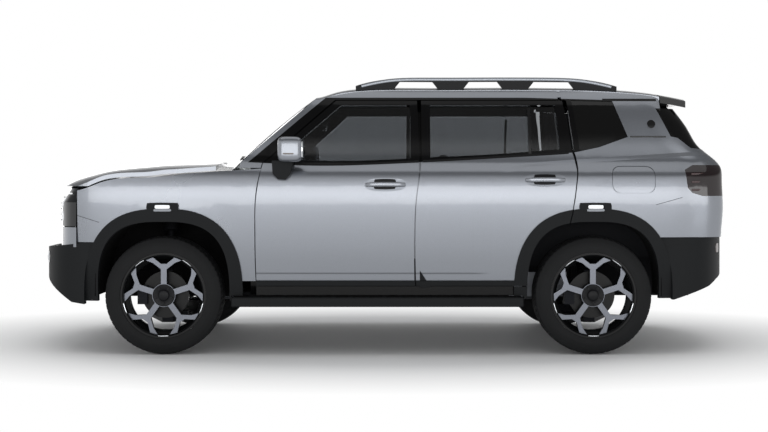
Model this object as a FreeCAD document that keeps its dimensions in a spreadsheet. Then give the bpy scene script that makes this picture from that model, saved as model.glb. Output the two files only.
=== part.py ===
import FreeCAD, Part
import math
import os
import Sketcher
from FreeCAD import Vector, Rotation, Placement

doc = FreeCAD.newDocument("CompactOffroadSuv")
sheet = doc.addObject("Spreadsheet::Sheet", "Sizes")

# Driving dimensions in millimetres and degrees
SIZES = [
    ("wheelbase", 2700), ("front_overhang", 846), ("rear_overhang", 924),
    ("body_width", 1880), ("overall_height", 1765), ("track", 1600),
    ("tyre_dia", 743), ("tyre_width", 235), ("tyre_wall", 14), ("rim_dia", 538), ("rim_width", 216),
    ("rim_wall", 8), ("rim_bead_dia", 512), ("rim_drop", 24), ("spoke_count", 5),
    ("spoke_depth", 34), ("spoke_dish", 26), ("spoke_stem", 36), ("spoke_fork_radius", 164),
    ("spoke_elbow", 67.5), ("spoke_elbow_radius", 203), ("spoke_tip_outer", 118),
    ("spoke_tip_inner", 72), ("spoke_valley", 18), ("spoke_valley_radius", 198),
    ("hub_dia", 146), ("hub_depth", 60),
    ("disc_dia", 296), ("disc_thickness", 28), ("disc_offset", 34),
    ("shut_gap", 6), ("seat_gap", 0.3), ("door_thickness", 90), ("skin_wall", 30),
    ("frame_wall", 30), ("pillar_wall", 60), ("ring_width", 34), ("sill_inset", 40),
    ("seal_gap", 11), ("door_taper", 32), ("glass_wall", 5), ("glass_inset", 12),
    ("window_frame", 46), ("cladding_wall", 14), ("cladding_proud", 12),
    ("arch_side_gap", 44), ("arch_top_gap", 93), ("arch_lip", 82),
    ("tail_crown", 34), ("corner_length", 190), ("corner_width", 110),
    ("bonnet_wall", 26), ("roof_wall", 24), ("roof_drop", 33), ("spoiler_wall", 40),
    ("tailgate_wall", 70), ("bumper_wall", 60), ("fascia_wall", 60), ("nose_bow", 110),
    ("nose_lean", 70), ("bonnet_crown", 12), ("tail_lamp_depth", 42), ("screen_wall", 6),
    ("screen_bow", 105), ("screen_belly", 14),
    ("floor_wall", 24), ("floor_level", 356), ("load_floor_level", 600),
    ("cabin_half_width", 742), ("bulkhead_wall", 30), ("tow_depth", 40), ("tow_dia", 16),
    ("liner_wall", 4), ("liner_depth", 340), ("liner_foot", 330), ("splash_wall", 6),
    ("step_width", 150), ("step_height", 60), ("step_reach", 952), ("step_top", 364),
    ("rail_width", 34), ("rail_height", 26), ("rail_foot", 46), ("rail_spread", 1190),
    ("seat_width", 500), ("seat_wall", 120), ("seat_pitch", 720), ("seat_spread", 720),
    ("seat_rise", 110), ("seat_back", 600), ("seat_lean", 120), ("head_height", 190),
    ("bench_width", 1280),
    ("wheel_rim_dia", 370), ("wheel_rim_tube", 30), ("steer_tilt", 24),
    ("kingpin_inset", 62), ("arm_height", 34), ("spring_dia", 116), ("damper_dia", 48),
    ("caliper_wall", 24), ("caliper_depth", 62), ("caliper_height", 120), ("carrier_wall", 40),
    ("carrier_height", 300), ("steer_arm", 130), ("arm_spread", 170), ("strut_gap", 4),
    ("swing_gap", 12),
    ("engine_length", 560), ("engine_width", 760), ("engine_height", 520),
    ("pipe_dia", 56), ("silencer_dia", 150), ("silencer_length", 300), ("hanger_width", 24),
    ("mirror_width", 156), ("mirror_height", 142), ("mirror_depth", 140), ("mirror_round", 34),
    ("flap_gap", 3), ("flap_wall", 6), ("flap_round", 62), ("overrun", 60), ("edge_round", 9),
]
for row, (alias, value) in enumerate(SIZES, start=1):
    cell = "B%d" % row
    sheet.set("A%d" % row, alias)
    sheet.set(cell, str(value))
    sheet.setAlias(cell, alias)
doc.recompute()


def size(alias):
    return float(sheet.get(alias))


# Main lengths that the rest is worked out from
length = size("front_overhang") + size("wheelbase") + size("rear_overhang")
nose_x = -length / 2
front_axle = nose_x + size("front_overhang")
rear_axle = front_axle + size("wheelbase")
height = size("overall_height")
half_width = size("body_width") / 2
tyre_radius = size("tyre_dia") / 2
wheel_y = size("track") / 2
gap = size("shut_gap")
over = size("overrun")
seat_gap = size("seat_gap")

# Body side: height share against half-width share, and length share against width share
SIDE_SHARES = [
    (0.16, 0.925), (0.262, 0.950), (0.34, 0.972), (0.43, 0.988), (0.52, 0.998), (0.575, 1.0),
    (0.62, 0.993), (0.655, 0.968), (0.678, 0.925), (0.70, 0.902), (0.75, 0.878), (0.80, 0.850),
    (0.85, 0.818), (0.90, 0.772), (0.935, 0.715), (0.955, 0.665),
]
PLAN_SHARES = [
    (-1.0, 0.80), (-0.85, 0.885), (-0.65, 0.95), (-0.4, 0.985), (0.0, 0.995), (0.5, 1.0),
    (1.0, 0.998), (1.4, 0.985), (1.7, 0.955), (1.9, 0.915), (2.0, 0.88),
]
# Centre line seen from the side: length share against height share
BONNET_SHARES = [
    (-0.86, 0.560), (-0.791, 0.5924), (-0.729, 0.6131), (-0.651, 0.6299), (-0.573, 0.6402),
    (-0.418, 0.6559), (-0.184, 0.6682), (0.064, 0.6794), (0.19, 0.6859),
]
BONNET_EDGE_SHARES = [
    (-0.86, 0.535), (-0.615, 0.5860), (-0.538, 0.6003), (-0.462, 0.6145), (-0.091, 0.6322),
    (0.087, 0.6499), (0.19, 0.6600),
]
ROOF_SHARES = [
    (0.36, 0.935), (0.383, 0.9455), (0.407, 0.9560), (0.436, 0.9633), (0.60, 0.9700),
    (0.80, 0.9710), (1.0, 0.9680), (1.236, 0.9610), (1.463, 0.9480), (1.70, 0.9240),
]
# Rear face: height share against length share
TAIL_SHARES = [
    (0.30, 1.925), (0.4378, 1.925), (0.5262, 1.935), (0.5668, 1.932), (0.64, 1.930),
    (0.6774, 1.922), (0.695, 1.895), (0.7364, 1.800), (0.80, 1.725), (0.8802, 1.625),
    (0.93, 1.560),
]


class SmoothCurve:
    """Natural cubic spline through a short table of shares."""

    def __init__(self, table):
        self.at = [row[0] for row in table]
        self.value = [row[1] for row in table]
        count = len(table)
        step = [self.at[i + 1] - self.at[i] for i in range(count - 1)]
        lower = [0.0] * count
        right = [0.0] * count
        for i in range(1, count - 1):
            rise = (self.value[i + 1] - self.value[i]) / step[i]
            run = (self.value[i] - self.value[i - 1]) / step[i - 1]
            pivot = 2 * (step[i - 1] + step[i]) - step[i - 1] * lower[i - 1]
            lower[i] = step[i] / pivot
            right[i] = (6 * (rise - run) - step[i - 1] * right[i - 1]) / pivot
        self.bend = [0.0] * count
        for i in range(count - 2, 0, -1):
            self.bend[i] = right[i] - lower[i] * self.bend[i + 1]
        self.step = step

    def __call__(self, at):
        last = len(self.at) - 2
        i = 0
        while i < last and at > self.at[i + 1]:
            i += 1
        width = self.step[i]
        left = (self.at[i + 1] - at) / width
        near = 1 - left
        bent = (left ** 3 - left) * self.bend[i] + (near ** 3 - near) * self.bend[i + 1]
        return left * self.value[i] + near * self.value[i + 1] + bent * width ** 2 / 6


side_curve = SmoothCurve(SIDE_SHARES)
plan_curve = SmoothCurve(PLAN_SHARES)
bonnet_curve = SmoothCurve(BONNET_SHARES)
bonnet_edge_curve = SmoothCurve(BONNET_EDGE_SHARES)
roof_curve = SmoothCurve(ROOF_SHARES)
tail_curve = SmoothCurve(TAIL_SHARES)


def along(share):
    """Length share: -1 nose, 0 front axle, 1 rear axle, 2 tail."""
    if share < 0:
        return front_axle + share * size("front_overhang")
    if share <= 1:
        return front_axle + share * size("wheelbase")
    return rear_axle + (share - 1) * size("rear_overhang")


def share_along(x):
    if x < front_axle:
        return (x - front_axle) / size("front_overhang")
    if x <= rear_axle:
        return (x - front_axle) / size("wheelbase")
    return 1 + (x - rear_axle) / size("rear_overhang")


def up(share):
    return share * height


def point(x_share, z_share):
    return (along(x_share), up(z_share))


def side_y(x, z):
    """Half width of the outer skin at a place on the side."""
    return half_width * side_curve(z / height) * plan_curve(share_along(x))


def steps(low, high, count):
    return [low + (high - low) * i / (count - 1) for i in range(count)]


def surface_face(grid):
    surface = Part.BSplineSurface()
    surface.interpolate(grid)
    return surface.toShape()


GRID_PITCH_SHARE = 0.014


def grid_count(span):
    return max(5, int(abs(span) / (length * GRID_PITCH_SHARE)) + 2)


def side_slab(x_low, x_high, z_low, z_high, inset, wall):
    """Left body side between two depths under the outer skin."""
    xs = steps(x_low, x_high, grid_count(x_high - x_low))
    zs = steps(z_low, z_high, grid_count(z_high - z_low) + 4)
    grid = [[Vector(x, inset - side_y(x, z), z) for z in zs] for x in xs]
    return surface_face(grid).extrude(Vector(0, wall, 0))


def run_edges(runs, plane):
    """Edges through runs of points: two points make a line, more make a curve."""
    edges = []
    for run in runs:
        places = [plane(a, b) for a, b in run]
        if len(places) == 2:
            edges.append(Part.makeLine(places[0], places[1]))
        else:
            curve = Part.BSplineCurve()
            curve.interpolate(places)
            edges.append(curve.toShape())
    return edges


def side_prism(runs, y_low, y_high):
    """Outline in the side view carried across the car."""
    edges = run_edges(runs, lambda a, b: Vector(a, y_low, b))
    return Part.Face(Part.Wire(edges)).extrude(Vector(0, y_high - y_low, 0))


def polygon_runs(points):
    closed = list(points) + [points[0]]
    return [closed[i:i + 2] for i in range(len(points))]


def rounded_runs(corners, round_off):
    """Closed outline whose corners are rounded off by curves."""
    runs = []
    for i, corner in enumerate(corners):
        before, after = corners[i - 1], corners[(i + 1) % len(corners)]
        ends = []
        for other in (before, after):
            share = round_off / math.hypot(other[0] - corner[0], other[1] - corner[1])
            ends.append([c + (o - c) * share for c, o in zip(corner, other)])
        curve = []
        for t in steps(0, 1, 7):
            curve.append(tuple(a * (1 - t) ** 2 + 2 * c * t * (1 - t) + b * t ** 2
                               for a, c, b in zip(ends[0], corner, ends[1])))
        runs.append(curve)
    whole = []
    for i, curve in enumerate(runs):
        whole += [curve, [curve[-1], runs[(i + 1) % len(runs)][0]]]
    return whole


def plan_prism(points, z_low, z_high):
    edges = run_edges(polygon_runs(points), lambda a, b: Vector(a, b, z_low))
    return Part.Face(Part.Wire(edges)).extrude(Vector(0, 0, z_high - z_low))


def rear_prism(runs, x_low, x_high):
    edges = run_edges(runs, lambda a, b: Vector(x_low, a, b))
    return Part.Face(Part.Wire(edges)).extrude(Vector(x_high - x_low, 0, 0))


def tapered_prism(outer, inner, y_outer, y_inner):
    """Solid between two like outlines in the side view."""
    first = Part.Wire(run_edges(outer, lambda a, b: Vector(a, y_outer, b)))
    second = Part.Wire(run_edges(inner, lambda a, b: Vector(a, y_inner, b)))
    return Part.makeLoft([first, second], True, True)


def block(x_low, x_high, y_low, y_high, z_low, z_high):
    corner = Vector(x_low, y_low, z_low)
    return Part.makeBox(x_high - x_low, y_high - y_low, z_high - z_low, corner)


def mirrored(shape):
    return shape.mirror(Vector(0, 0, 0), Vector(0, 1, 0))


def both_sides(shape):
    return Part.makeCompound([shape, mirrored(shape)])


def rod(start, end, dia):
    line = end - start
    return Part.makeCylinder(dia / 2, line.Length, start, line)


def fused(shapes):
    whole = shapes[0]
    for shape in shapes[1:]:
        whole = whole.fuse(shape)
    return whole


parts = []


def add_shape(name, shape):
    """A free-form piece whose sizes come from the sheet."""
    feature = doc.addObject("Part::Feature", name)
    feature.Label = name
    feature.Shape = shape
    parts.append(feature)
    return feature


# Wheel arch outlines around an axle
ARCH_POWER_SHARE = 2.9
FLARE_POWER_SHARE = 2.55
opening_reach = tyre_radius + size("arch_side_gap")
opening_rise = tyre_radius + size("arch_top_gap")
flare_reach = opening_reach + size("arch_lip")
flare_rise = opening_rise + size("arch_lip")


def arch_points(axle_x, reach, rise, power, count=17):
    places = []
    for i in range(count):
        turn = math.pi * i / (count - 1)
        across = math.cos(turn)
        above = math.sin(turn)
        x = axle_x - math.copysign(abs(across) ** (2 / power), across) * reach
        places.append((x, tyre_radius + above ** (2 / power) * rise))
    return places


def arch_prism(axle_x, reach, rise, power, y_low, y_high):
    curve = arch_points(axle_x, reach, rise, power)
    foot = -over
    first, last = curve[0], curve[-1]
    runs = [curve, [last, (last[0], foot)], [(last[0], foot), (first[0], foot)],
            [(first[0], foot), first]]
    return side_prism(runs, y_low, y_high)


outer_y = -half_width - 2 * over
arch_cuts = [arch_prism(axle, opening_reach, opening_rise, ARCH_POWER_SHARE, outer_y, 0)
             for axle in (front_axle, rear_axle)]
flare_cuts = [arch_prism(axle, flare_reach, flare_rise, FLARE_POWER_SHARE, outer_y, 0)
              for axle in (front_axle, rear_axle)]

# Shut lines of the body side as length and height shares
DOOR_FRONT_SHARES = [(0.229, 0.6800), (0.222, 0.6215), (0.2155, 0.5508), (0.214, 0.4446),
                     (0.214, 0.3735), (0.2155, 0.2450)]
DOOR_MIDDLE_SHARES = [(0.600, 0.7000), (0.594, 0.6215), (0.588, 0.5508), (0.585, 0.4446),
                      (0.585, 0.3600), (0.587, 0.2450)]
DOOR_REAR_SHARES = [(0.958, 0.7220), (0.964, 0.6751), (0.961, 0.6215), (0.955, 0.5508),
                    (0.947, 0.4871), (0.930, 0.4000), (0.915, 0.2450)]
CANT_SHARE = 0.9120
DOOR_FRONT_TOP_SHARES = (0.398, CANT_SHARE)
DOOR_MIDDLE_TOP_SHARES = (0.600, CANT_SHARE)
DOOR_REAR_TOP_SHARES = (0.945, CANT_SHARE)
SILVER_FOOT_SHARE = 0.2640


def shifted(places, x_move=0.0, z_move=0.0):
    return [(x + x_move, z + z_move) for x, z in places]


def door_runs(front, front_top, rear, rear_top, front_move, rear_move, top_move, foot_move):
    """Outline of a door: up its front, along the cant line, down its rear, along its foot."""
    front_line = shifted([point(*row) for row in front], front_move)
    rear_line = shifted([point(*row) for row in rear], rear_move)
    front_line[-1] = (front_line[-1][0], front_line[-1][1] + foot_move)
    rear_line[-1] = (rear_line[-1][0], rear_line[-1][1] + foot_move)
    top_front = (point(*front_top)[0] + front_move, point(*front_top)[1] + top_move)
    top_rear = (point(*rear_top)[0] + rear_move, point(*rear_top)[1] + top_move)
    return [list(reversed(front_line)), [front_line[0], top_front], [top_front, top_rear],
            [top_rear, rear_line[0]], rear_line, [rear_line[-1], front_line[-1]]]


half_gap = gap / 2
front_door_lines = (DOOR_FRONT_SHARES, DOOR_FRONT_TOP_SHARES,
                    DOOR_MIDDLE_SHARES, DOOR_MIDDLE_TOP_SHARES)
rear_door_lines = (DOOR_MIDDLE_SHARES, DOOR_MIDDLE_TOP_SHARES,
                   DOOR_REAR_SHARES, DOOR_REAR_TOP_SHARES)
front_door_runs = door_runs(*front_door_lines, half_gap, -half_gap, -half_gap, 0)
rear_door_runs = door_runs(*rear_door_lines, half_gap, -half_gap, -half_gap, 0)
front_door_hole = door_runs(*front_door_lines, -half_gap, half_gap, half_gap, -gap)
rear_door_hole = door_runs(*rear_door_lines, -half_gap, half_gap, half_gap, -gap)

# Window outlines as length and height shares
FRONT_WINDOW_SHARES = [(0.268, 0.6990), (0.400, 0.6900), (0.500, 0.6930), (0.575, 0.6990)]
FRONT_WINDOW_TOP_SHARES = [(0.575, 0.8930), (0.412, 0.8930)]
REAR_WINDOW_SHARES = [(0.622, 0.7030), (0.700, 0.7080), (0.800, 0.7170), (0.925, 0.7330)]
REAR_WINDOW_TOP_SHARES = [(0.918, 0.8930), (0.622, 0.8930)]


def window_runs(foot, top, grow):
    """Window outline, grown for the glass that fills it."""
    foot_line = [point(*row) for row in foot]
    top_line = [point(*row) for row in top]
    foot_line = shifted(foot_line, 0, -grow)
    foot_line[0] = (foot_line[0][0] - grow * 2, foot_line[0][1])
    foot_line[-1] = (foot_line[-1][0] + grow, foot_line[-1][1])
    top_line = [(top_line[0][0] + grow, top_line[0][1] + grow),
                (top_line[1][0] - grow * 2, top_line[1][1] + grow)]
    return [foot_line, [foot_line[-1], top_line[0]], top_line, [top_line[1], foot_line[0]]]


front_window = side_prism(window_runs(FRONT_WINDOW_SHARES, FRONT_WINDOW_TOP_SHARES, 0),
                          outer_y, 0)
rear_window = side_prism(window_runs(REAR_WINDOW_SHARES, REAR_WINDOW_TOP_SHARES, 0),
                         outer_y, 0)


def outline_box(runs, margin):
    xs = [a for run in runs for a, b in run]
    zs = [b for run in runs for a, b in run]
    return min(xs) - margin, max(xs) + margin, min(zs) - margin, max(zs) + margin


def make_door(runs, window):
    """A door as thick as the whole door, its rear face tapered for the swing."""
    box = outline_box(runs, gap)
    slab = side_slab(*box, 0, size("door_thickness"))
    inner = [list(run) for run in runs]
    taper = size("door_taper")
    inner[3] = shifted(inner[3], -taper)
    inner[4] = shifted(inner[4], -taper)
    inner[2] = [inner[2][0], (inner[2][1][0] - taper, inner[2][1][1])]
    inner[5] = [(inner[5][0][0] - taper, inner[5][0][1]), inner[5][1]]
    outer_side = -half_width - gap
    reach = half_width * (1 - SIDE_SHARES[-2][1]) + size("door_thickness") + 2 * gap
    prism = tapered_prism(runs, inner, outer_side, outer_side + reach)
    door = slab.common(prism)
    for cut in [window] + flare_cuts:
        door = door.cut(cut)
    low, high, foot, top = box
    cladding_line = block(low, high, outer_y, 0, foot - over, up(SILVER_FOOT_SHARE))
    outer_half = side_slab(*box, 0, size("cladding_wall") + seat_gap)
    return door.cut(cladding_line.common(outer_half))


def make_glass(foot, top):
    runs = window_runs(foot, top, -seat_gap)
    slab = side_slab(*outline_box(runs, gap), size("glass_inset"), size("glass_wall"))
    return slab.common(side_prism(runs, outer_y, 0))


front_door = make_door(front_door_runs, front_window)
rear_door = make_door(rear_door_runs, rear_window)
front_glass = make_glass(FRONT_WINDOW_SHARES, FRONT_WINDOW_TOP_SHARES)
rear_glass = make_glass(REAR_WINDOW_SHARES, REAR_WINDOW_TOP_SHARES)


def door_trim(runs):
    """Black cladding along the foot of a door and in front of the arch."""
    box = outline_box(runs, gap)
    proud = size("cladding_proud")
    slab = side_slab(*box, -proud, proud + size("cladding_wall"))
    foot = slab.common(side_prism(runs, outer_y, 0))
    low, high = box[0], box[1]
    band = foot.common(block(low, high, outer_y, 0, 0, up(SILVER_FOOT_SHARE) - half_gap))
    lip = foot.common(flare_cuts[1])
    return band.fuse(lip).cut(arch_cuts[1])


add_shape("door_front_left", front_door)
add_shape("door_front_right", mirrored(front_door))
add_shape("door_rear_left", rear_door)
add_shape("door_rear_right", mirrored(rear_door))
add_shape("glass_front_left", front_glass)
add_shape("glass_front_right", mirrored(front_glass))
add_shape("glass_rear_left", rear_glass)
add_shape("glass_rear_right", mirrored(rear_glass))
rear_trim = door_trim(rear_door_runs)
add_shape("trim_rear_left", rear_trim)
add_shape("trim_rear_right", mirrored(rear_trim))


# Front fender
FENDER_TOP_SHARES = BONNET_EDGE_SHARES[1:] + [(0.235, 0.6640)]
FENDER_NOSE_SHARE = -0.640


def fender_shape():
    front = [point(*row) for row in DOOR_FRONT_SHARES]
    front = shifted(front, -half_gap)
    top = shifted([point(*row) for row in FENDER_TOP_SHARES], 0, -half_gap)
    nose = along(FENDER_NOSE_SHARE)
    top = [(nose, top[0][1])] + top[1:]
    top[-1] = (front[0][0], top[-1][1])
    foot = up(SIDE_SHARES[1][0])
    rear = [(front[0][0], top[-1][1])] + front[1:-1] + [(front[-1][0], foot)]
    runs = [top, rear, [rear[-1], (nose, foot)], [(nose, foot), top[0]]]
    slab = side_slab(*outline_box(runs, gap), 0, size("skin_wall"))
    fender = slab.common(side_prism(runs, outer_y, 0))
    bumper_line = block(nose - over, front_axle, outer_y, 0, 0, up(0.4005))
    return fender.cut(flare_cuts[0]).cut(bumper_line)


fender = fender_shape()
add_shape("front_fenders", both_sides(fender))


def arch_cladding(axle_x, keep):
    """Black lip round a wheel arch, proud of the body side."""
    proud = size("cladding_proud")
    low = axle_x - flare_reach - over
    high = axle_x + flare_reach + over
    foot = up(SIDE_SHARES[0][0])
    slab = side_slab(low, high, foot, tyre_radius + flare_rise + over,
                     -proud, proud + size("skin_wall"))
    ring = slab.common(arch_prism(axle_x, flare_reach, flare_rise, FLARE_POWER_SHARE, outer_y, 0))
    ring = ring.cut(arch_prism(axle_x, opening_reach, opening_rise, ARCH_POWER_SHARE, outer_y, 0))
    return ring.common(keep)


step_front = along(0.160)
step_rear = along(0.836)
step_room = block(step_front - gap, step_rear + gap, outer_y, 0, 0, size("step_top") + gap)
front_keep = block(nose_x, along(0.215) - half_gap, outer_y, 0, up(0.190), height)
front_cladding = arch_cladding(front_axle, front_keep.cut(step_room))
door_side = side_prism(rear_door_hole, outer_y, 0)
rear_keep = block(along(0.6), -nose_x, outer_y, 0, up(0.200), height)
rear_cladding = arch_cladding(rear_axle, rear_keep.cut(step_room)).cut(door_side)
add_shape("arch_cladding", Part.makeCompound([front_cladding, mirrored(front_cladding),
                                              rear_cladding, mirrored(rear_cladding)]))


# Rear quarter: one skin that runs along the side and round the rear corner
def tail_x(y, z):
    crown = size("tail_crown") * (abs(y) / half_width) ** 2
    return along(tail_curve(z / height)) - crown


CORNER_POWER_SHARE = 2.4


def corner_row(x_start, z, inset):
    """Points along the side, round the corner and in across the tail at one height."""
    places = []
    wide = size("corner_width")
    long = size("corner_length")
    x_turn = tail_x(half_width - wide, z) - long
    for x in steps(x_start, x_turn, 10):
        places.append((x, side_y(x, z)))
    y_side = side_y(x_turn, z)
    y_turn = y_side - wide
    for i in range(1, 6):
        angle = math.pi / 2 * (1 - i / 6)
        x = x_turn + (tail_x(y_turn, z) - x_turn) * math.cos(angle) ** (2 / CORNER_POWER_SHARE)
        y = y_turn + wide * math.sin(angle) ** (2 / CORNER_POWER_SHARE)
        places.append((x, y))
    for y in steps(y_turn, y_turn - wide, 4):
        places.append((tail_x(y, z), y))
    row = []
    for i, (x, y) in enumerate(places):
        before = places[max(i - 1, 0)]
        after = places[min(i + 1, len(places) - 1)]
        run_x, run_y = after[0] - before[0], after[1] - before[1]
        span = math.hypot(run_x, run_y)
        row.append(Vector(x + run_y / span * inset, -(y - run_x / span * inset), z))
    return row


def walled_solid(outer_grid, inner_grid):
    """Solid between two skins given as grids of points."""
    outer = surface_face(outer_grid)
    inner = surface_face(inner_grid)
    faces = [outer, inner]
    for first, second in zip(outer.Edges, inner.Edges):
        faces.append(Part.makeRuledSurface(first, second))
    shell = Part.makeShell(faces)
    shell.sewShape()
    solid = Part.makeSolid(shell)
    if solid.Volume < 0:
        solid.reverse()
    return solid


quarter_start = along(0.90)
roof_drop = size("roof_drop")


def roof_half(x):
    """Half width of the roof at its seam with the sides."""
    return side_y(x, up(roof_curve(share_along(x))) - roof_drop)


def roof_z(x, y):
    """Height of the roof skin: highest along the middle, rolled down to the cant rails."""
    return up(roof_curve(share_along(x))) - roof_drop * (abs(y) / roof_half(x)) ** 7


quarter_zs = steps(up(0.30), up(SIDE_SHARES[-1][0]), 28)


def corner_skin(inset, wall):
    return walled_solid([corner_row(quarter_start, z, inset) for z in quarter_zs],
                        [corner_row(quarter_start, z, inset + wall) for z in quarter_zs])


def polyline_prism(points, y_low, y_high):
    return side_prism(polygon_runs([point(*row) for row in points]), y_low, y_high)


# Outlines on the quarter as length and height shares
BUMPER_LINE_SHARE = 0.418
QUARTER_WINDOW_SHARES = [(0.972, 0.7300), (1.0, 0.7340), (1.057, 0.7420), (1.127, 0.7547),
                         (1.197, 0.7690), (1.243, 0.7790)]
QUARTER_WINDOW_TOP_SHARES = [(1.165, 0.9080), (0.958, 0.9120)]
SPOILER_FOOT_SHARE = 0.8820
CORNER_GLASS_SHARES = [(1.460, 0.8820), (1.552, 0.7787), (1.601, 0.7733), (1.688, 0.7371),
                       (2.10, 0.7200), (2.10, 0.8820)]
TAIL_LAMP_SHARES = [(1.627, 0.6576), (1.689, 0.6755), (2.10, 0.6755), (2.10, 0.5660),
                    (1.744, 0.5643), (1.675, 0.5751), (1.641, 0.5930)]
FLAP_SHARES = [(1.123, 0.6715), (1.418, 0.6715), (1.418, 0.5737), (1.123, 0.5737)]
REAR_EDGE_SHARE = 1.500


def quarter_window_runs(grow):
    foot = shifted([point(*row) for row in QUARTER_WINDOW_SHARES], 0, -grow)
    foot[0] = (foot[0][0] - grow, foot[0][1])
    foot[-1] = (foot[-1][0] + grow, foot[-1][1])
    top = [point(*row) for row in QUARTER_WINDOW_TOP_SHARES]
    top = [(top[0][0] + grow, top[0][1] + grow), (top[1][0] - grow, top[1][1] + grow)]
    return [foot, [foot[-1], top[0]], top, [top[1], foot[0]]]


def roof_edge_prism(move):
    """Everything above the seam between roof and side."""
    xs = steps(along(0.2), along(1.9), 18)
    seam = [(x, up(roof_curve(share_along(x))) - roof_drop + move) for x in xs]
    top = height + over
    runs = [seam, [seam[-1], (seam[-1][0], top)], [(seam[-1][0], top), (seam[0][0], top)],
            [(seam[0][0], top), seam[0]]]
    return side_prism(runs, outer_y, -outer_y)


def quarter_shape():
    skin = corner_skin(0, size("skin_wall"))
    foot = block(quarter_start - over, -nose_x, outer_y, 0, 0, up(BUMPER_LINE_SHARE))
    lamp = polyline_prism(TAIL_LAMP_SHARES, outer_y, 0)
    flap_hole = rounded_runs([point(*row) for row in FLAP_SHARES], size("flap_round"))
    flap_pocket = side_prism(flap_hole, outer_y, 0).common(
        side_slab(along(1.05), along(1.50), up(0.5), up(0.7), -gap, gap + flap_depth))
    cuts = [foot.cut(block(quarter_start - over, rear_axle, outer_y, 0, 0, height)), lamp,
            polyline_prism(CORNER_GLASS_SHARES, outer_y, 0),
            side_prism(quarter_window_runs(0), outer_y, 0), side_prism(rear_door_hole, outer_y, 0),
            block(quarter_start - over, along(0.935), outer_y, 0, 0, height),
            flare_cuts[1], flap_pocket, roof_edge_prism(-half_gap),
            block(along(REAR_EDGE_SHARE) - gap, -nose_x, outer_y, 0, up(SPOILER_FOOT_SHARE),
                  height)]
    for cut in cuts:
        skin = skin.cut(cut)
    return skin


flap_depth = size("flap_wall") * 2
quarter = quarter_shape()

flap_slab = side_slab(along(1.05), along(1.50), up(0.5), up(0.7), 0, size("flap_wall"))


def inset_points(points, inset):
    """A rectangle of shares pulled in on all sides."""
    places = [point(*row) for row in points]
    middle_x = sum(x for x, z in places) / len(places)
    middle_z = sum(z for x, z in places) / len(places)
    return [(x - math.copysign(inset, x - middle_x), z - math.copysign(inset, z - middle_z))
            for x, z in places]


flap = flap_slab.common(side_prism(rounded_runs(inset_points(FLAP_SHARES, size("flap_gap")),
                                                size("flap_round")), outer_y, 0))
add_shape("fuel_flap", flap)

lamp_prism = polyline_prism(TAIL_LAMP_SHARES, outer_y, 0)
tail_lamp = corner_skin(0, size("tail_lamp_depth")).common(lamp_prism)
add_shape("tail_lamps", both_sides(tail_lamp))

glass_skin = corner_skin(size("glass_inset") / 4, size("glass_wall"))
corner_glass = glass_skin.common(polyline_prism(CORNER_GLASS_SHARES, outer_y, 0))
quarter_window = glass_skin.common(side_prism(quarter_window_runs(-seat_gap), outer_y, 0))
side_panes = [corner_glass, quarter_window, mirrored(corner_glass), mirrored(quarter_window)]


# Roof and spoiler
def z_slab(x_low, x_high, half_at, height_at, wall, rows=24, columns=17):
    """Level skin of a given thickness, as wide at each place as half_at says."""
    grid = []
    for x in steps(x_low, x_high, rows):
        half = half_at(x)
        grid.append([Vector(x, y, height_at(x, y)) for y in steps(-half, half, columns)])
    return surface_face(grid).extrude(Vector(0, 0, -wall))


ROOF_FRONT_SHARE = 0.352
SPOILER_TIP_SHARE = 1.682


def roof_edge(x):
    return roof_half(x) - half_gap


roof = z_slab(along(ROOF_FRONT_SHARE), along(REAR_EDGE_SHARE), roof_edge, roof_z,
              size("roof_wall"))
add_shape("roof", roof)
roof_room = z_slab(along(ROOF_FRONT_SHARE) - seat_gap, along(REAR_EDGE_SHARE) + seat_gap,
                   lambda x: roof_edge(x) + seat_gap, lambda x, y: roof_z(x, y) + gap,
                   size("roof_wall") + gap + seat_gap)
add_shape("rear_quarters", both_sides(quarter.cut(roof_room)))
spoiler = z_slab(along(REAR_EDGE_SHARE) + gap, along(SPOILER_TIP_SHARE),
                 lambda x: roof_edge(x) - gap, roof_z, size("spoiler_wall"), 9, 17)


# Tailgate
def tail_edge(z):
    x_turn = tail_x(half_width - size("corner_width"), z) - size("corner_length")
    return side_y(x_turn, z) - 2 * size("corner_width")


def tail_slab(z_low, z_high, inset, wall):
    zs = steps(z_low, z_high, 24)
    ys = steps(-half_width, half_width, 21)
    grid = [[Vector(tail_x(y, z) - inset, y, z) for y in ys] for z in zs]
    return surface_face(grid).extrude(Vector(-wall, 0, 0))


TAILGATE_FOOT_SHARE = 0.4230
TAILGATE_TOP_SHARE = 0.9000
TAIL_WINDOW_SHARES = (0.7450, 0.8880)
GLASS_FOOT_SHARE = 0.70


def tailgate_outline(low, high, margin):
    zs = steps(low, high, 13)
    right = [(tail_edge(z) - margin, z) for z in zs]
    left = [(-y, z) for y, z in reversed(right)]
    return [right, [right[-1], left[0]], left, [left[-1], right[0]]]


rear_reach = -nose_x + over
tailgate = tail_slab(up(TAILGATE_FOOT_SHARE), up(TAILGATE_TOP_SHARE), 0, size("tailgate_wall"))
tailgate = tailgate.common(rear_prism(
    tailgate_outline(up(TAILGATE_FOOT_SHARE), up(TAILGATE_TOP_SHARE), gap), 0, rear_reach))
tail_window = rear_prism(tailgate_outline(up(TAIL_WINDOW_SHARES[0]), up(TAIL_WINDOW_SHARES[1]),
                                          size("window_frame")), 0, rear_reach)
tailgate = tailgate.cut(tail_window)
leg_half = tail_edge(up(TAILGATE_TOP_SHARE)) - gap
spoiler_leg = block(along(REAR_EDGE_SHARE) + gap, along(1.60), -leg_half, leg_half,
                    up(TAILGATE_TOP_SHARE) - gap, up(0.935))
spoiler_leg = spoiler_leg.cut(z_slab(along(1.45), along(1.7), roof_half,
                                     lambda x, y: roof_z(x, y) + over, over + gap, 9, 17))
add_shape("tailgate", tailgate.fuse([spoiler, spoiler_leg]))
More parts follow.
